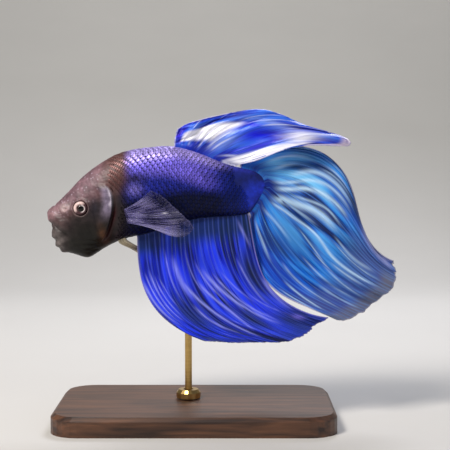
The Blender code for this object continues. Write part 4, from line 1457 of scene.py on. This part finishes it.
# %% Fin membranes
MEMBRANE_HALF = 0.11  # half the skin's thickness at the margin, far above the real one, so that it is solid
PALE_HALF = 0.05  # the same for the paired fins
ROOT_SWELLING, SWELLING_SPAN = 2.2, 0.06  # how much thicker it is at the root, and over which share of v


def flat_layout(mesh, across, along):
    """The fin's own UV map: across the fin and along its rays."""
    layout = mesh.uv_layers.new(name="spread")
    total = across * along
    vertex = np.zeros(len(mesh.loops), np.int32)
    mesh.loops.foreach_get("vertex_index", vertex)
    place = vertex % total
    uv = np.stack([place // along / (across - 1), place % along / (along - 1)], axis=1)
    layout.data.foreach_set("uv", uv.astype(np.float32).ravel())


def membrane(fin, masks, finish, node, thin=MEMBRANE_HALF):
    """The closed, pleated skin of a fin, with its masks."""
    across, along = fin.points.shape[:2]
    swelling = ROOT_SWELLING * bell(np.clip(fin.v, 0, 1), SWELLING_SPAN)
    half = thin * (1 + swelling)[None, :] * np.ones((across, 1))
    made = mesh_object(f"{fin.name}_membrane", *closed_sheet(fin.points, half))
    flat_layout(made.data, across, along)
    for label, values in masks.items():
        set_mask(made.data, label, np.tile(np.broadcast_to(values, (across, along)).ravel(), 2))
    made.data.materials.append(finish)
    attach(made, "root")
    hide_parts(node)
    print(made.name, len(made.data.polygons), "faces")


print("fin skin is", 2 * MEMBRANE_HALF, "mm thick at the margin, and", 2 * PALE_HALF, "on the paired fins")

# %% [markdown]
# A fin's skin is nearly clear, with the same light-catching plates as the scales lying along its rays. Its
# colour is painted in streaks: painted shade in the furrows, painted highlight on the crests of the folds,
# and finer streaks along each ray, partly the skin's own and partly painted sheen. A picture would do this
# too, but noise drawn out along the fin's own flat layout follows every fold and costs nothing. The broad
# fields of colour are masks over that layout.

# %% Fin skin finish
FINE_STREAKS, BROAD_STREAKS = 170.0, 34.0  # across a fin, so about 0.3 mm and 1.5 mm each on the tail fin
STREAKS_ALONG = 3.0  # how often a streak changes from root to margin
STREAK_DEPTH = 0.07
# where the painted shade of the furrow, the flank colour and the painted highlight of the crest sit
FURROW_AT, FLANK_AT, CREST_AT = 0.08, 0.45, 0.92  # on the way from furrow to crest


def fin_level(tree, streak):
    """How light the fin is painted at a place: shade in the furrows, highlight on the crests of its folds,
    and its two sizes of streak.
    """
    spread = add_node(tree, "ShaderNodeUVMap", uv_map="spread")
    wide = {0: spread.outputs[0], "Scale": (BROAD_STREAKS, STREAKS_ALONG, 1.0)}
    broad = add_node(tree, "ShaderNodeMapping", wide)
    patch = add_node(tree, "ShaderNodeTexNoise", {"Vector": broad.outputs[0], "Scale": 1.0, "Detail": 2.0})
    crest = add_node(tree, "ShaderNodeAttribute", attribute_name="crest")
    sharp = add_node(tree, "ShaderNodeMapRange", {0: streak, 1: 0.32, 2: 0.68, 3: 0.15, 4: 0.85})
    lit = {0: crest.outputs["Fac"], 1: sharp.outputs[0]}
    fine = add_node(tree, "ShaderNodeMath", lit, operation="ADD")
    more = {0: fine.outputs[0], 1: patch.outputs["Fac"]}
    total = add_node(tree, "ShaderNodeMath", more, operation="ADD")
    return add_node(tree, "ShaderNodeMapRange", {0: total.outputs[0], 1: 0.85, 2: 2.05}).outputs[0]


def fin_finish(name, ground, layers, alpha=1.0, metallic=0.05):
    """Satin fin skin: its ground is painted from shade in the furrows over the flank to highlight on the
    crest, with streaks along the rays.
    """
    look = {"Roughness": 0.34, "Metallic": metallic, "Specular IOR Level": 0.25, "Alpha": alpha}
    made, tree, shader = new_material(name, look | {"Coat Weight": 0.1, "Coat Roughness": 0.25})
    spread = add_node(tree, "ShaderNodeUVMap", uv_map="spread")
    narrow = {0: spread.outputs[0], "Scale": (FINE_STREAKS, STREAKS_ALONG, 1.0)}
    drawn_out = add_node(tree, "ShaderNodeMapping", narrow)
    streaked = {"Vector": drawn_out.outputs[0], "Scale": 1.0, "Detail": 4.0}
    streak = add_node(tree, "ShaderNodeTexNoise", streaked).outputs["Fac"]
    ramp = add_node(tree, "ShaderNodeValToRGB", {0: fin_level(tree, streak)})
    furrow, crest = ramp.color_ramp.elements
    furrow.color, furrow.position = colour(ground[0]), FURROW_AT
    crest.color, crest.position = colour(ground[2]), CREST_AT
    ramp.color_ramp.elements.new(FLANK_AT).color = colour(ground[1])
    tree.links.new(layered_colour(tree, ramp.outputs[0], layers), shader.inputs["Base Color"])
    ray = add_node(tree, "ShaderNodeAttribute", attribute_name="ray")
    height = add_node(tree, "ShaderNodeMath", {0: streak, 1: ray.outputs["Fac"]}, operation="ADD")
    bump = {"Height": height.outputs[0], "Strength": 0.5, "Distance": STREAK_DEPTH * MM}
    tree.links.new(add_node(tree, "ShaderNodeBump", bump).outputs[0], shader.inputs["Normal"])
    return made


print("fine streaks:", FINE_STREAKS, "across a fin, broad ones:", BROAD_STREAKS)

# %% [markdown]
# What all fins share is a mark on each ray, a pale margin, a dark root, which is painted shade next to the
# body, and bright streaks, which are painted highlights. They could be drawn in the shader, but distances in
# millimetres to a ray or a margin are at hand in Python, where the sheet was made, so they are stored on the
# points as the body's markings are.

# %% Masks that every fin has


def streaks(fin, lines):
    """1 along streaks, which the finish paints as highlight, and as shade where they are creases. Each has
    its width in millimetres, its strength, and its course: places across and along the fin."""
    u, v = np.broadcast_arrays(fin.u[:, None], fin.v[None, :])
    total = np.zeros(u.shape)
    for wide, strength, course in lines:
        across, along = np.array(course).T
        middle = spline(along, across, np.clip(fin.v, along[0], along[-1])).reshape(1, -1)
        begins = soft_step(v, along[0] - 0.03, along[0] + 0.08)
        fades = soft_step(v, along[-1] + 0.05, along[-1] - 0.10)
        line = bell((u - middle) * fin.width, wide)
        total = np.maximum(total, strength * line * (begins * fades))
    print(len(lines), "streaks on the", fin.name, "fin")
    return total * (0.7 + 0.3 * uneven(u, v, 60, 14, len(lines)))


def common_masks(fin):
    """Crests of the folds, closeness to a ray, the pale margin and the root."""
    u, v = fin.u[:, None], fin.v[None, :]
    edge = np.minimum(np.minimum(u, 1 - u) * fin.width, (1 - v) * fin.length[:, None])
    return {
        "crest": fin.crest,
        "ray": bell(fin.away, 0.13),
        "rim": soft_step(edge, 0.36, 0.10),
        # the dark root is painted shade, where the body shades the fin
        "root": soft_step(v, 0.10, 0.0) * np.ones_like(u),
    }


print("every fin has the masks", ", ".join(common_masks(dorsal)))


# %% [markdown]
# ### Tail fin
# The veil tail is azure and teal lower down, with a dusky lilac towards the hem, where the pigment thins
# out. Light blue-green is painted on as highlight where its folds face the light, and navy as shade in its
# hollows. Its bright streaks, also painted highlight, lie on single folds, so each is drawn by its own
# course over the fin, from u and v as a tailor's chalk marks a cloth.

# %% Tail fin
u, v = np.broadcast_arrays(caudal.u[:, None], caudal.v[None, :])
lit = caudal.crest**1.5
caudal_masks = common_masks(caudal) | {
    # painted highlight on the crests that catch the light
    "cyan": either(
        lit * oval(u, v, (0.42, 0.24), (0.24, 0.26)),
        0.8 * oval(u, v, (0.22, 0.10), (0.06, 0.07), 15),
    ),
    "teal": either(oval(u, v, (0.72, 0.32), (0.16, 0.24)), 0.8 * oval(u, v, (0.26, 0.24), (0.05, 0.14))),
    "royal": oval(u, v, (0.93, 0.45), (0.09, 0.26)),
    "night": either(
        oval(u, v, (0.08, 0.27), (0.16, 0.12)),
        oval(u, v, (0.47, 0.70), (0.15, 0.17)),
        0.7 * oval(u, v, (0.12, 0.58), (0.2, 0.08)),
    ),
    "dusk": soft_step(v + 0.10 * soft_step(u, 0.25, 0.0), 0.56, 0.80),
    "lilac": soft_step(u, 0.34, 0.22) * soft_step(v, 0.66, 0.78) * soft_step(v, 1.0, 0.94),
    "hem": soft_step(v, 0.86, 0.95) * soft_step(u, 0.3, 0.5),
}
print("the tail fin's fields:", ", ".join(caudal_masks))

# %% Streaks of the tail fin
# painted highlights along single folds
caudal_masks["sheen"] = streaks(caudal, (
    (0.50, 1.0, ((0.50, 0.04), (0.42, 0.17), (0.37, 0.27), (0.345, 0.40), (0.335, 0.56))),
    (0.75, 1.0, ((0.60, 0.04), (0.54, 0.12), (0.50, 0.22), (0.465, 0.34), (0.465, 0.50))),
    (0.30, 0.9, (
        (0.65, 0.05), (0.61, 0.14), (0.585, 0.26), (0.575, 0.42), (0.60, 0.56), (0.60, 0.70), (0.575, 0.90),
    )),
    (0.40, 0.8, ((0.44, 0.02), (0.40, 0.12), (0.33, 0.25), (0.29, 0.38), (0.28, 0.56))),
    (0.55, 0.9, ((0.33, 0.16), (0.27, 0.27), (0.24, 0.40), (0.235, 0.57))),
    (0.28, 0.7, ((0.22, 0.34), (0.205, 0.44), (0.20, 0.58))),
    (0.25, 0.7, ((0.18, 0.36), (0.165, 0.46), (0.16, 0.57))),
    (0.35, 0.7, ((0.11, 0.38), (0.10, 0.46), (0.09, 0.55))),
    (0.30, 0.7, ((0.47, 0.16), (0.43, 0.30), (0.405, 0.42), (0.42, 0.53))),
    (0.30, 0.6, ((0.56, 0.12), (0.54, 0.24), (0.53, 0.36))),
    (0.22, 0.8, ((0.635, 0.60), (0.63, 0.70), (0.62, 0.84))),
    (0.18, 0.7, ((0.66, 0.48), (0.665, 0.56), (0.67, 0.66))),
    (0.30, 0.5, ((0.78, 0.02), (0.73, 0.15), (0.72, 0.30))),
    (0.25, 0.6, ((0.80, 0.66), (0.80, 0.80), (0.805, 0.93))),
    (0.25, 0.7, ((0.92, 0.06), (0.905, 0.18), (0.91, 0.33))),
    (0.22, 0.8, ((0.925, 0.52), (0.935, 0.68), (0.96, 0.84))),
    (0.20, 0.8, ((0.975, 0.55), (0.98, 0.68), (0.99, 0.80))),
    (0.40, 0.8, ((0.06, 0.80), (0.05, 0.88), (0.04, 0.96))),
    (0.35, 0.6, ((0.50, 0.52), (0.52, 0.66), (0.49, 0.84))),
    (0.20, 0.5, ((0.73, 0.45), (0.74, 0.66), (0.74, 0.88))),
    (0.20, 0.5, ((0.86, 0.40), (0.87, 0.62), (0.88, 0.88))),
    (0.20, 0.7, ((0.54, 0.54), (0.55, 0.70), (0.53, 0.88))),
    (0.18, 0.6, ((0.68, 0.58), (0.69, 0.74), (0.70, 0.92))),
    (0.16, 0.6, ((0.62, 0.30), (0.64, 0.44), (0.66, 0.58))),
    (0.30, 0.8, ((0.20, 0.08), (0.18, 0.16), (0.17, 0.28))),
    (0.35, 0.7, ((0.30, 0.06), (0.27, 0.12), (0.24, 0.20))),
))

# %% Skin of the tail fin
caudal_layers = (
    ("teal", "#0e4f98", 0.6),
    ("royal", "#2346cc", 0.55),
    ("night", "#0a1650", 0.8),
    # painted highlight on the lit crests
    ("cyan", "#86d8ff", 0.8),
    ("dusk", "#4a559a", 0.75),
    ("lilac", "#a6a6de", 0.85),
    ("hem", "#6e6f7c", 0.75),
    ("sheen", "#bfe2ff", 1.0),
    ("ray", "#6ba6ee", 0.25),
    ("root", "#0c1a80", 0.6),
    ("rim", "#b4b2c8", 0.8),
)
caudal_finish = fin_finish("azure_fin_skin", ("#04164a", "#064ec4", "#1a90fa"), caudal_layers)
membrane(caudal, caudal_masks, caudal_finish, "caudal_fin")

# %% [markdown]
# ### Anal fin
# The anal fin hangs from the whole belly as a royal blue curtain. It is darkest at its root, where the
# body shades it, and at its hem, and its streaks sweep back with the rays. It is made as the tail fin is.

# %% Anal fin
u, v = np.broadcast_arrays(anal.u[:, None], anal.v[None, :])
anal_masks = common_masks(anal) | {
    "root_shade": soft_step(v, 0.20, 0.07) * (0.6 + 0.4 * soft_step(np.abs(u - 0.25), 0.05, 0.15)),
    "royal": either(
        oval(u, v, (0.30, 0.28), (0.13, 0.14)),
        0.8 * oval(u, v, (0.08, 0.42), (0.12, 0.20)),
        0.8 * oval(u, v, (0.63, 0.22), (0.05, 0.07)),
        0.9 * oval(u, v, (0.77, 0.65), (0.08, 0.18)),
    ),
    "night": either(
        oval(u, v, (0.27, 0.58), (0.10, 0.17)),
        oval(u, v, (0.92, 0.40), (0.09, 0.20)),
        oval(u, v, (0.58, 0.72), (0.05, 0.12)),
        oval(u, v, (0.85, 0.86), (0.16, 0.13)),
    ),
    "violet": oval(u, v, (0.91, 0.86), (0.035, 0.04)),
    "hem": soft_step(v, 0.86, 0.96),
}
print("the anal fin's fields:", ", ".join(anal_masks))

# %% Streaks of the anal fin
# painted highlights along single folds
anal_masks["sheen"] = streaks(anal, (
    (0.30, 1.0, ((0.015, 0.34), (0.03, 0.50), (0.055, 0.72))),
    (0.18, 1.0, ((0.04, 0.28), (0.065, 0.46), (0.09, 0.68))),
    (0.20, 0.9, ((0.075, 0.26), (0.10, 0.44), (0.13, 0.66))),
    (0.16, 0.8, ((0.11, 0.30), (0.14, 0.46), (0.17, 0.60))),
    (0.16, 0.6, ((0.14, 0.30), (0.18, 0.42), (0.21, 0.54))),
    (0.55, 0.7, ((0.31, 0.18), (0.34, 0.28), (0.38, 0.44))),
    (0.35, 1.0, ((0.36, 0.32), (0.40, 0.42), (0.44, 0.56), (0.455, 0.72), (0.435, 0.88))),
    (0.35, 0.9, ((0.36, 0.50), (0.37, 0.64), (0.39, 0.80))),
    (0.30, 0.9, ((0.47, 0.36), (0.51, 0.50), (0.53, 0.62), (0.49, 0.80))),
    (0.22, 0.7, ((0.49, 0.24), (0.52, 0.36), (0.56, 0.52))),
    (0.40, 1.0, ((0.53, 0.30), (0.58, 0.44), (0.64, 0.60), (0.72, 0.80))),
    (0.25, 0.8, ((0.59, 0.34), (0.64, 0.48), (0.69, 0.62), (0.75, 0.78))),
    (0.20, 0.6, ((0.66, 0.34), (0.71, 0.46), (0.76, 0.58))),
    (0.22, 0.6, ((0.84, 0.28), (0.86, 0.44), (0.855, 0.64))),
    (0.30, 0.7, ((0.90, 0.02), (0.93, 0.10), (0.965, 0.20))),
    (0.35, 0.7, ((0.985, 0.44), (0.98, 0.58), (0.965, 0.76))),
    (0.25, 0.6, ((0.20, 0.86), (0.22, 0.90), (0.24, 0.96))),
    (0.25, 0.5, ((0.30, 0.78), (0.29, 0.86), (0.28, 0.94))),
    (0.18, 0.7, ((0.24, 0.14), (0.26, 0.30), (0.29, 0.46))),
    (0.16, 0.6, ((0.43, 0.16), (0.45, 0.32), (0.48, 0.46))),
    (0.16, 0.7, ((0.62, 0.42), (0.68, 0.60), (0.75, 0.72))),
    (0.16, 0.6, ((0.46, 0.62), (0.50, 0.74), (0.53, 0.90))),
    (0.16, 0.6, ((0.78, 0.52), (0.83, 0.66), (0.88, 0.78))),
))

# %% Skin of the anal fin
anal_layers = (
    ("royal", "#182cf6", 0.7),
    ("night", "#0a1a40", 0.9),
    ("violet", "#7a70e0", 0.9),
    ("root_shade", "#0d2440", 0.9),
    ("sheen", "#969eff", 0.95),
    ("hem", "#142448", 0.6),
    ("ray", "#5f78e8", 0.25),
    ("rim", "#8a86cc", 0.6),
)
anal_finish = fin_finish("royal_fin_skin", ("#06104a", "#1024ca", "#2a46ff"), anal_layers)
membrane(anal, anal_masks, anal_finish, "anal_fin")

# %% [markdown]
# ### Dorsal fin
# The dorsal fin is deep cobalt. At the front, and where the rear rays fall over the tail, pearly white is
# painted on as highlight where the folds face the light. Its tip is crumpled. The sheet ends in a plain lobe
# there, and its crumpled look is painted on it as two creases of painted shade and a light spot of painted
# highlight.

# %% Dorsal fin
u, v = np.broadcast_arrays(dorsal.u[:, None], dorsal.v[None, :])
front_highlight = soft_step(u, 0.06, 0.10) * soft_step(u, 0.46, 0.38)
rear_highlight = soft_step(u - 0.10 * v, 0.74, 0.82) * soft_step(v, 0.85, 0.70)
dorsal_masks = common_masks(dorsal) | {
    # pearly white painted highlights at the front and on the fold over the tail
    "pale": either(
        front_highlight * soft_step(v, 0.10, 0.20) * soft_step(v, 0.54, 0.42),
        rear_highlight,
        oval(u, v, (0.77, 0.64), (0.10, 0.12)),
    ),
    "veil": either(oval(u, v, (0.51, 0.16), (0.08, 0.12)), oval(u, v, (0.50, 0.62), (0.14, 0.07))),
    "petal": either(oval(u, v, (0.60, 0.38), (0.09, 0.16)), 0.9 * oval(u, v, (0.47, 0.48), (0.07, 0.05))),
    "violet": either(oval(u, v, (0.03, 0.5), (0.04, 0.5)), oval(u, v, (0.75, 0.28), (0.05, 0.17))),
    "night": either(oval(u, v, (0.92, 0.80), (0.05, 0.14)), 0.8 * oval(u, v, (0.22, 0.68), (0.12, 0.10))),
    "tip": soft_step(v, 0.90, 0.96) * soft_step(u, 0.62, 0.74),
    # painted shade in the tip's crumples, and a painted highlight on it below
    "crumple": either(oval(u, v, (0.66, 0.945), (0.05, 0.012)), oval(u, v, (0.72, 0.972), (0.04, 0.010))),
    "knot": oval(u, v, (0.69, 0.99), (0.05, 0.014)),
}
print("the dorsal fin's fields:", ", ".join(dorsal_masks))

# %% Creases and streaks of the dorsal fin
# creases of painted shade along the folds
dorsal_masks["crease"] = streaks(dorsal, (
    (0.30, 0.9, ((0.40, 0.14), (0.405, 0.26), (0.41, 0.40))),
    (0.16, 0.7, ((0.20, 0.14), (0.21, 0.26), (0.215, 0.40))),
    (0.16, 0.7, ((0.29, 0.14), (0.30, 0.26), (0.305, 0.40))),
    (0.35, 0.8, ((0.85, 0.58), (0.86, 0.62), (0.88, 0.70))),
    (0.18, 0.6, ((0.90, 0.10), (0.92, 0.30), (0.93, 0.55))),
))
# painted highlights along the rays
dorsal_masks["sheen"] = streaks(dorsal, (
    (0.16, 0.7, ((0.12, 0.55), (0.115, 0.75), (0.11, 0.95))),
    (0.14, 0.6, ((0.22, 0.50), (0.21, 0.75), (0.20, 0.95))),
    (0.22, 0.8, ((0.36, 0.50), (0.37, 0.75), (0.37, 0.96))),
    (0.18, 0.7, ((0.44, 0.46), (0.45, 0.72), (0.45, 0.95))),
    (0.28, 0.8, ((0.52, 0.50), (0.54, 0.74), (0.55, 0.97))),
    (0.20, 0.6, ((0.60, 0.58), (0.62, 0.78), (0.63, 0.97))),
    (0.25, 0.8, ((0.68, 0.54), (0.70, 0.66), (0.71, 0.86))),
    (0.45, 0.9, ((0.66, 0.02), (0.74, 0.08), (0.84, 0.16))),
    (0.30, 0.8, ((0.45, 0.05), (0.44, 0.16), (0.46, 0.34))),
    (0.22, 0.8, ((0.52, 0.04), (0.51, 0.14), (0.52, 0.26))),
    (0.22, 0.7, ((0.34, 0.02), (0.33, 0.08), (0.32, 0.14))),
    (0.20, 0.7, ((0.20, 0.02), (0.19, 0.08), (0.18, 0.14))),
))

# %% Skin of the dorsal fin
dorsal_layers = (
    ("petal", "#0408d6", 1.0),
    ("night", "#0b1770", 0.8),
    ("violet", "#3a22d8", 0.85),
    ("veil", "#8fa6ec", 0.6),
    # painted highlights at the front and on the fold
    ("pale", "#f4f4ff", 1.0),
    # painted shade in the creases
    ("crease", "#6a6ec0", 0.8),
    ("sheen", "#dfe6fc", 0.9),
    ("tip", "#dccbd8", 0.85),
    # painted shade and painted highlight of the crumpled tip
    ("crumple", "#3d3a90", 0.8),
    ("knot", "#fff2f8", 0.9),
    ("ray", "#2236a0", 0.2),
    ("root", "#1424a0", 0.5),
    ("rim", "#cfcdf0", 0.8),
)
dorsal_finish = fin_finish("cobalt_fin_skin", ("#0a1478", "#1a34c8", "#3a74ea"), dorsal_layers)
membrane(dorsal, dorsal_masks, dorsal_finish, "dorsal_fin")

# %% [markdown]
# ### Paired fins
# The paired fins are another matter. The pectorals beat all the time, and their skin is so thin that it
# shows what is behind: it gets a low alpha, while the rays inside stay solid. The pelvic fins are two long
# feelers, pale and nearly closed. Both kinds use the same sheet as the large fins, with fewer rays.

# %% Shape of the paired fins
PECTORAL_OUT = (0.97, 0.05)  # the way out of the flesh at its base, which is a slanting line on the side
PECTORAL_DEEP, PECTORAL_SINK = 0.7, 1.2  # how far its root runs on forwards, and turns inwards
PELVIC_SWEEP = {"left": (-0.75, 1.45), "right": (0.9, 2.75)}  # y at the root, and past the anal fin


def pectoral_depth(side):
    """A pectoral fin starts just off the skin and stands away from the body."""
    start = abs(surface_y(*PECTORAL_BASE[0], side) - float(sway(PECTORAL_BASE[0][0]))) + 0.25

    def depth(u, v):
        return side * (start + 2.6 * v**0.9 + 0.5 * v * wave(u, 1.5, 0.2))

    return depth


def pelvic_depth(start, end):
    """Both pelvic fins are swept to the right of the anal fin, one outside the other."""

    def depth(u, v):
        return start + (end - start) * soft_step(v, 0, 0.3) + 1.2 * v**2

    return depth


def side_base(ends, count, out):
    """A straight fin base on the side, and the direction that leads away from it."""
    points = np.array(ends[0]) + (np.array(ends[1]) - ends[0]) * np.linspace(0, 1, count)[:, None]
    return points, np.tile(out, (count, 1))


pectorals, pelvics = [], []
for word, side in (("left", -1), ("right", 1)):
    base, depth = side_base(PECTORAL_BASE, 150, PECTORAL_OUT), pectoral_depth(side)
    pectorals.append(Fin(
        f"pectoral_{word}", base, PECTORAL_RAYS, depth, stems_of(13, seed=21), (0.45,),
        along=60, folds=9, pleat=0.3, deep=PECTORAL_DEEP, sink=-PECTORAL_SINK * side,
    ))
    base, depth = outline_points(PELVIC_BASE, 36), pelvic_depth(*PELVIC_SWEEP[word])
    pelvics.append(Fin(
        f"pelvic_{word}", base, PELVIC_RAYS[word], depth, stems_of(3, seed=22), (),
        along=60, folds=3, pleat=0.1,
    ))
print("paired fins:", [fin.name for fin in pectorals + pelvics])

# %% Skin of the paired fins
pectoral_layers = (
    ("dark", "#17163e", 0.65),
    ("far", "#10163c", 0.8),
    ("lower", "#bcb6ea", 0.7),
    # a painted highlight: one small glint
    ("fleck", "#f6f4fc", 1.0),
    ("rim", "#7c7ab4", 0.35),
)
pelvic_layers = (("ray", "#e6dcc4", 0.4), ("rim", "#d8cdb4", 0.6))
# Glass-clear skin with a violet tint: two thirds of what is behind shows through.
clear_ground = "#262350", "#564f92", "#a49cd8"
pectoral_finish = fin_finish("clear_fin_skin", clear_ground, pectoral_layers, alpha=0.32, metallic=0.0)
# Cream-coloured feelers have no blue cells, and let little light through.
feeler_ground = "#6d5f4a", "#a39274", "#d6c8a6"
pelvic_finish = fin_finish("feeler_skin", feeler_ground, pelvic_layers, alpha=0.9, metallic=0.0)


def pectoral_masks(fin):
    """A pectoral fin's dark middle and far part, its pale lower edge, and one small painted highlight, a
    glint.
    """
    u, v = np.broadcast_arrays(fin.u[:, None], fin.v[None, :])
    return common_masks(fin) | {
        "lower": soft_step(u, 0.84, 0.95) * soft_step(v, 0.0, 0.3) * soft_step(v, 1.0, 0.7),
        # a painted highlight: one small glint on the fin
        "fleck": oval(u, v, (0.45, 0.72), (0.022, 0.045)),
        "dark": oval(u, v, (0.55, 0.45), (0.25, 0.25)),
        "far": soft_step(v, 0.50, 0.85),
    }


for word, pectoral, pelvic in zip(("left", "right"), pectorals, pelvics):
    masks = pectoral_masks(pectoral)
    membrane(pectoral, masks, pectoral_finish, f"pectoral_fin_{word}", thin=PALE_HALF)
    masks = common_masks(pelvic)
    membrane(pelvic, masks, pelvic_finish, f"pelvic_fin_{word}", thin=PALE_HALF)

# %% [markdown]
# ### Rays
# A ray is a rod of horn-like bone that tapers to the margin, and it shines more than the skin round it. Its
# centre line is drawn on the sheet as loose edges with a taper at each point, and Geometry Nodes sweep a
# small circle along it. Bevelled curves would do too, but one tree serves all the fins, and its thickness
# is one number.

# %% Geometry Nodes that draw the rays


def ray_group():
    """The tree that turns tapered lines into tubes."""
    inputs = {"Thickness": "NodeSocketFloat", "Sides": "NodeSocketInt", "Finish": "NodeSocketMaterial"}
    group, given, result = node_group("draw_rays", inputs)
    line = add_node(group, "GeometryNodeMeshToCurve", {0: given.outputs["Geometry"]})
    taper = add_node(group, "GeometryNodeInputNamedAttribute", {"Name": "taper"}, data_type="FLOAT")
    radius = {0: taper.outputs["Attribute"], 1: given.outputs["Thickness"]}
    thick = add_node(group, "ShaderNodeMath", radius, operation="MULTIPLY").outputs[0]
    circle = {"Resolution": given.outputs["Sides"], "Radius": 1.0}
    ring = add_node(group, "GeometryNodeCurvePrimitiveCircle", circle)
    swept = {"Curve": line.outputs[0], "Profile Curve": ring.outputs[0], "Scale": thick, "Fill Caps": True}
    tube = add_node(group, "GeometryNodeCurveToMesh", swept)
    real = add_node(group, "GeometryNodeRealizeInstances", {0: tube.outputs[0]})
    finish = {"Geometry": real.outputs[0], "Material": given.outputs["Finish"]}
    group.links.new(add_node(group, "GeometryNodeSetMaterial", finish).outputs[0], result.inputs[0])
    return group


draw_rays = ray_group()
print("tree", draw_rays.name, "has", len(draw_rays.nodes), "nodes")

# %% Draw the rays
RAY_RADIUS, PALE_RAY_RADIUS = 0.11, 0.04
RAY_REACH, PALE_RAY_REACH = 0.985, 0.80  # share of the fin's depth at which a ray ends
RAY_POINTS = 46
RAY_SIDES = 6
RAY_TAPER = (1.25, 0.40)  # times the radius, at the root and at the margin
RAY_CLOUD = 6.25  # paler and darker stretches of a ray, in millimetres


def ray_guide(fin, reach):
    """Loose edges along every ray of a fin, with a taper at each point."""
    points, edges, taper = [], [], []
    steps = np.linspace(0.0, reach, RAY_POINTS)
    for line in fin.lines:
        edges += [(len(points) + k, len(points) + k + 1) for k in range(RAY_POINTS - 1)]
        points += fin.at(np.interp(steps, fin.v, line), steps).tolist()
        taper += (RAY_TAPER[0] - (RAY_TAPER[0] - RAY_TAPER[1]) * steps).tolist()
    return guide_mesh(f"{fin.name}_ray_lines", points, {"taper": taper}, edges)


def ray_finish(name, dark, light):
    """Horny rays, glossier than the skin, in paler and darker stretches."""
    made, tree, shader = new_material(name, {"Roughness": 0.3, "Coat Weight": 0.3})
    place = add_node(tree, "ShaderNodeTexCoord")
    stretches = {"Vector": place.outputs["Object"], "Scale": 1 / (RAY_CLOUD * MM), "Detail": 3.0}
    cloud = add_node(tree, "ShaderNodeTexNoise", stretches)
    level = add_node(tree, "ShaderNodeMapRange", {0: cloud.outputs["Fac"], 1: 0.35, 2: 0.65})
    mixed = {0: level.outputs[0], 6: colour(dark), 7: colour(light)}
    tint = add_node(tree, "ShaderNodeMix", mixed, data_type="RGBA")
    tree.links.new(tint.outputs[2], shader.inputs["Base Color"])
    return made


def draw(fin, finish, radius, reach):
    """The tubes of all rays of a fin, as one piece."""
    values = {"Thickness": radius * MM, "Sides": RAY_SIDES, "Finish": finish}
    drawn = run_group(ray_guide(fin, reach), draw_rays, values, f"{fin.name}_rays")
    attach(drawn, "root")
    print(drawn.name, len(drawn.data.polygons), "faces")


for fin, name, dark, light in (
    (caudal, "azure_ray", "#2a74cc", "#98d2fa"),
    (anal, "royal_ray", "#2434b0", "#7c8cff"),
    (dorsal, "cobalt_ray", "#1c2a88", "#5f86e0"),
):
    draw(fin, ray_finish(name, dark, light), RAY_RADIUS, RAY_REACH)
for fin in pectorals:
    finish = ray_finish(f"{fin.name}_ray", "#5d5896", "#aea6e2")
    draw(fin, finish, PALE_RAY_RADIUS, PALE_RAY_REACH)

# %% [markdown]
# ## The stand
# The plate is oiled walnut: a dark, fine-pored wood whose growth rings show as long, slightly wavy bands
# when a board is sawn along the trunk. Noise drawn out along the board gives that figure, and runs on into
# the end grain without a seam, where a wrapped picture would need one. The rod and its collar are brushed
# brass, which is warm and half dull: fine turning marks round the rod spread its highlight.

# %% Walnut plate
GRAIN_LENGTH, GRAIN_WIDTH = 16.0, 1.4  # of the walnut's figure, in millimetres
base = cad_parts["stand_base"]
wood, tree, shader = new_material("oiled_walnut", {"Roughness": 0.42})
place = add_node(tree, "ShaderNodeTexCoord")
board = (1 / (GRAIN_LENGTH * MM), 1 / (GRAIN_WIDTH * MM), 1 / (GRAIN_WIDTH * MM))
drawn_out = add_node(tree, "ShaderNodeMapping", {0: place.outputs["Object"], "Scale": board})
rings = {"Vector": drawn_out.outputs[0], "Scale": 1.0, "Detail": 6.0, "Distortion": 0.6}
figure = add_node(tree, "ShaderNodeTexNoise", rings)
ramp = add_node(tree, "ShaderNodeValToRGB", {0: figure.outputs["Fac"]})
late_wood, early_wood = ramp.color_ramp.elements
late_wood.color, late_wood.position = colour("#2c1a12"), 0.32
early_wood.color, early_wood.position = colour("#6b4630"), 0.7
tree.links.new(ramp.outputs[0], shader.inputs["Base Color"])
base.data.materials.clear()
base.data.materials.append(wood)
print("walnut's figure is", GRAIN_WIDTH, "mm wide")

# %% Brass rod and collar
TURNING_MARK, MARK_LENGTH = 0.11, 3.3  # coarser than real marks, so that they show
brass, tree, shader = new_material("brushed_brass", {"Metallic": 1.0, "Roughness": 0.28})
place = add_node(tree, "ShaderNodeTexCoord")
lathe = (1 / (MARK_LENGTH * MM), 1 / (MARK_LENGTH * MM), 1 / (TURNING_MARK * MM))
turned = add_node(tree, "ShaderNodeMapping", {0: place.outputs["Object"], "Scale": lathe})
marks = add_node(tree, "ShaderNodeTexNoise", {"Vector": turned.outputs[0], "Scale": 1.0, "Detail": 2.0})
warm = {0: marks.outputs["Fac"], 6: colour("#b08a4c"), 7: colour("#d8b878")}
tone = add_node(tree, "ShaderNodeMix", warm, data_type="RGBA")
tree.links.new(tone.outputs[2], shader.inputs["Base Color"])
for name in ("stand_rod", "stand_collar"):
    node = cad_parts[name]
    node.data.materials.clear()
    node.data.materials.append(brass)
print("turning marks are", TURNING_MARK, "mm apart")
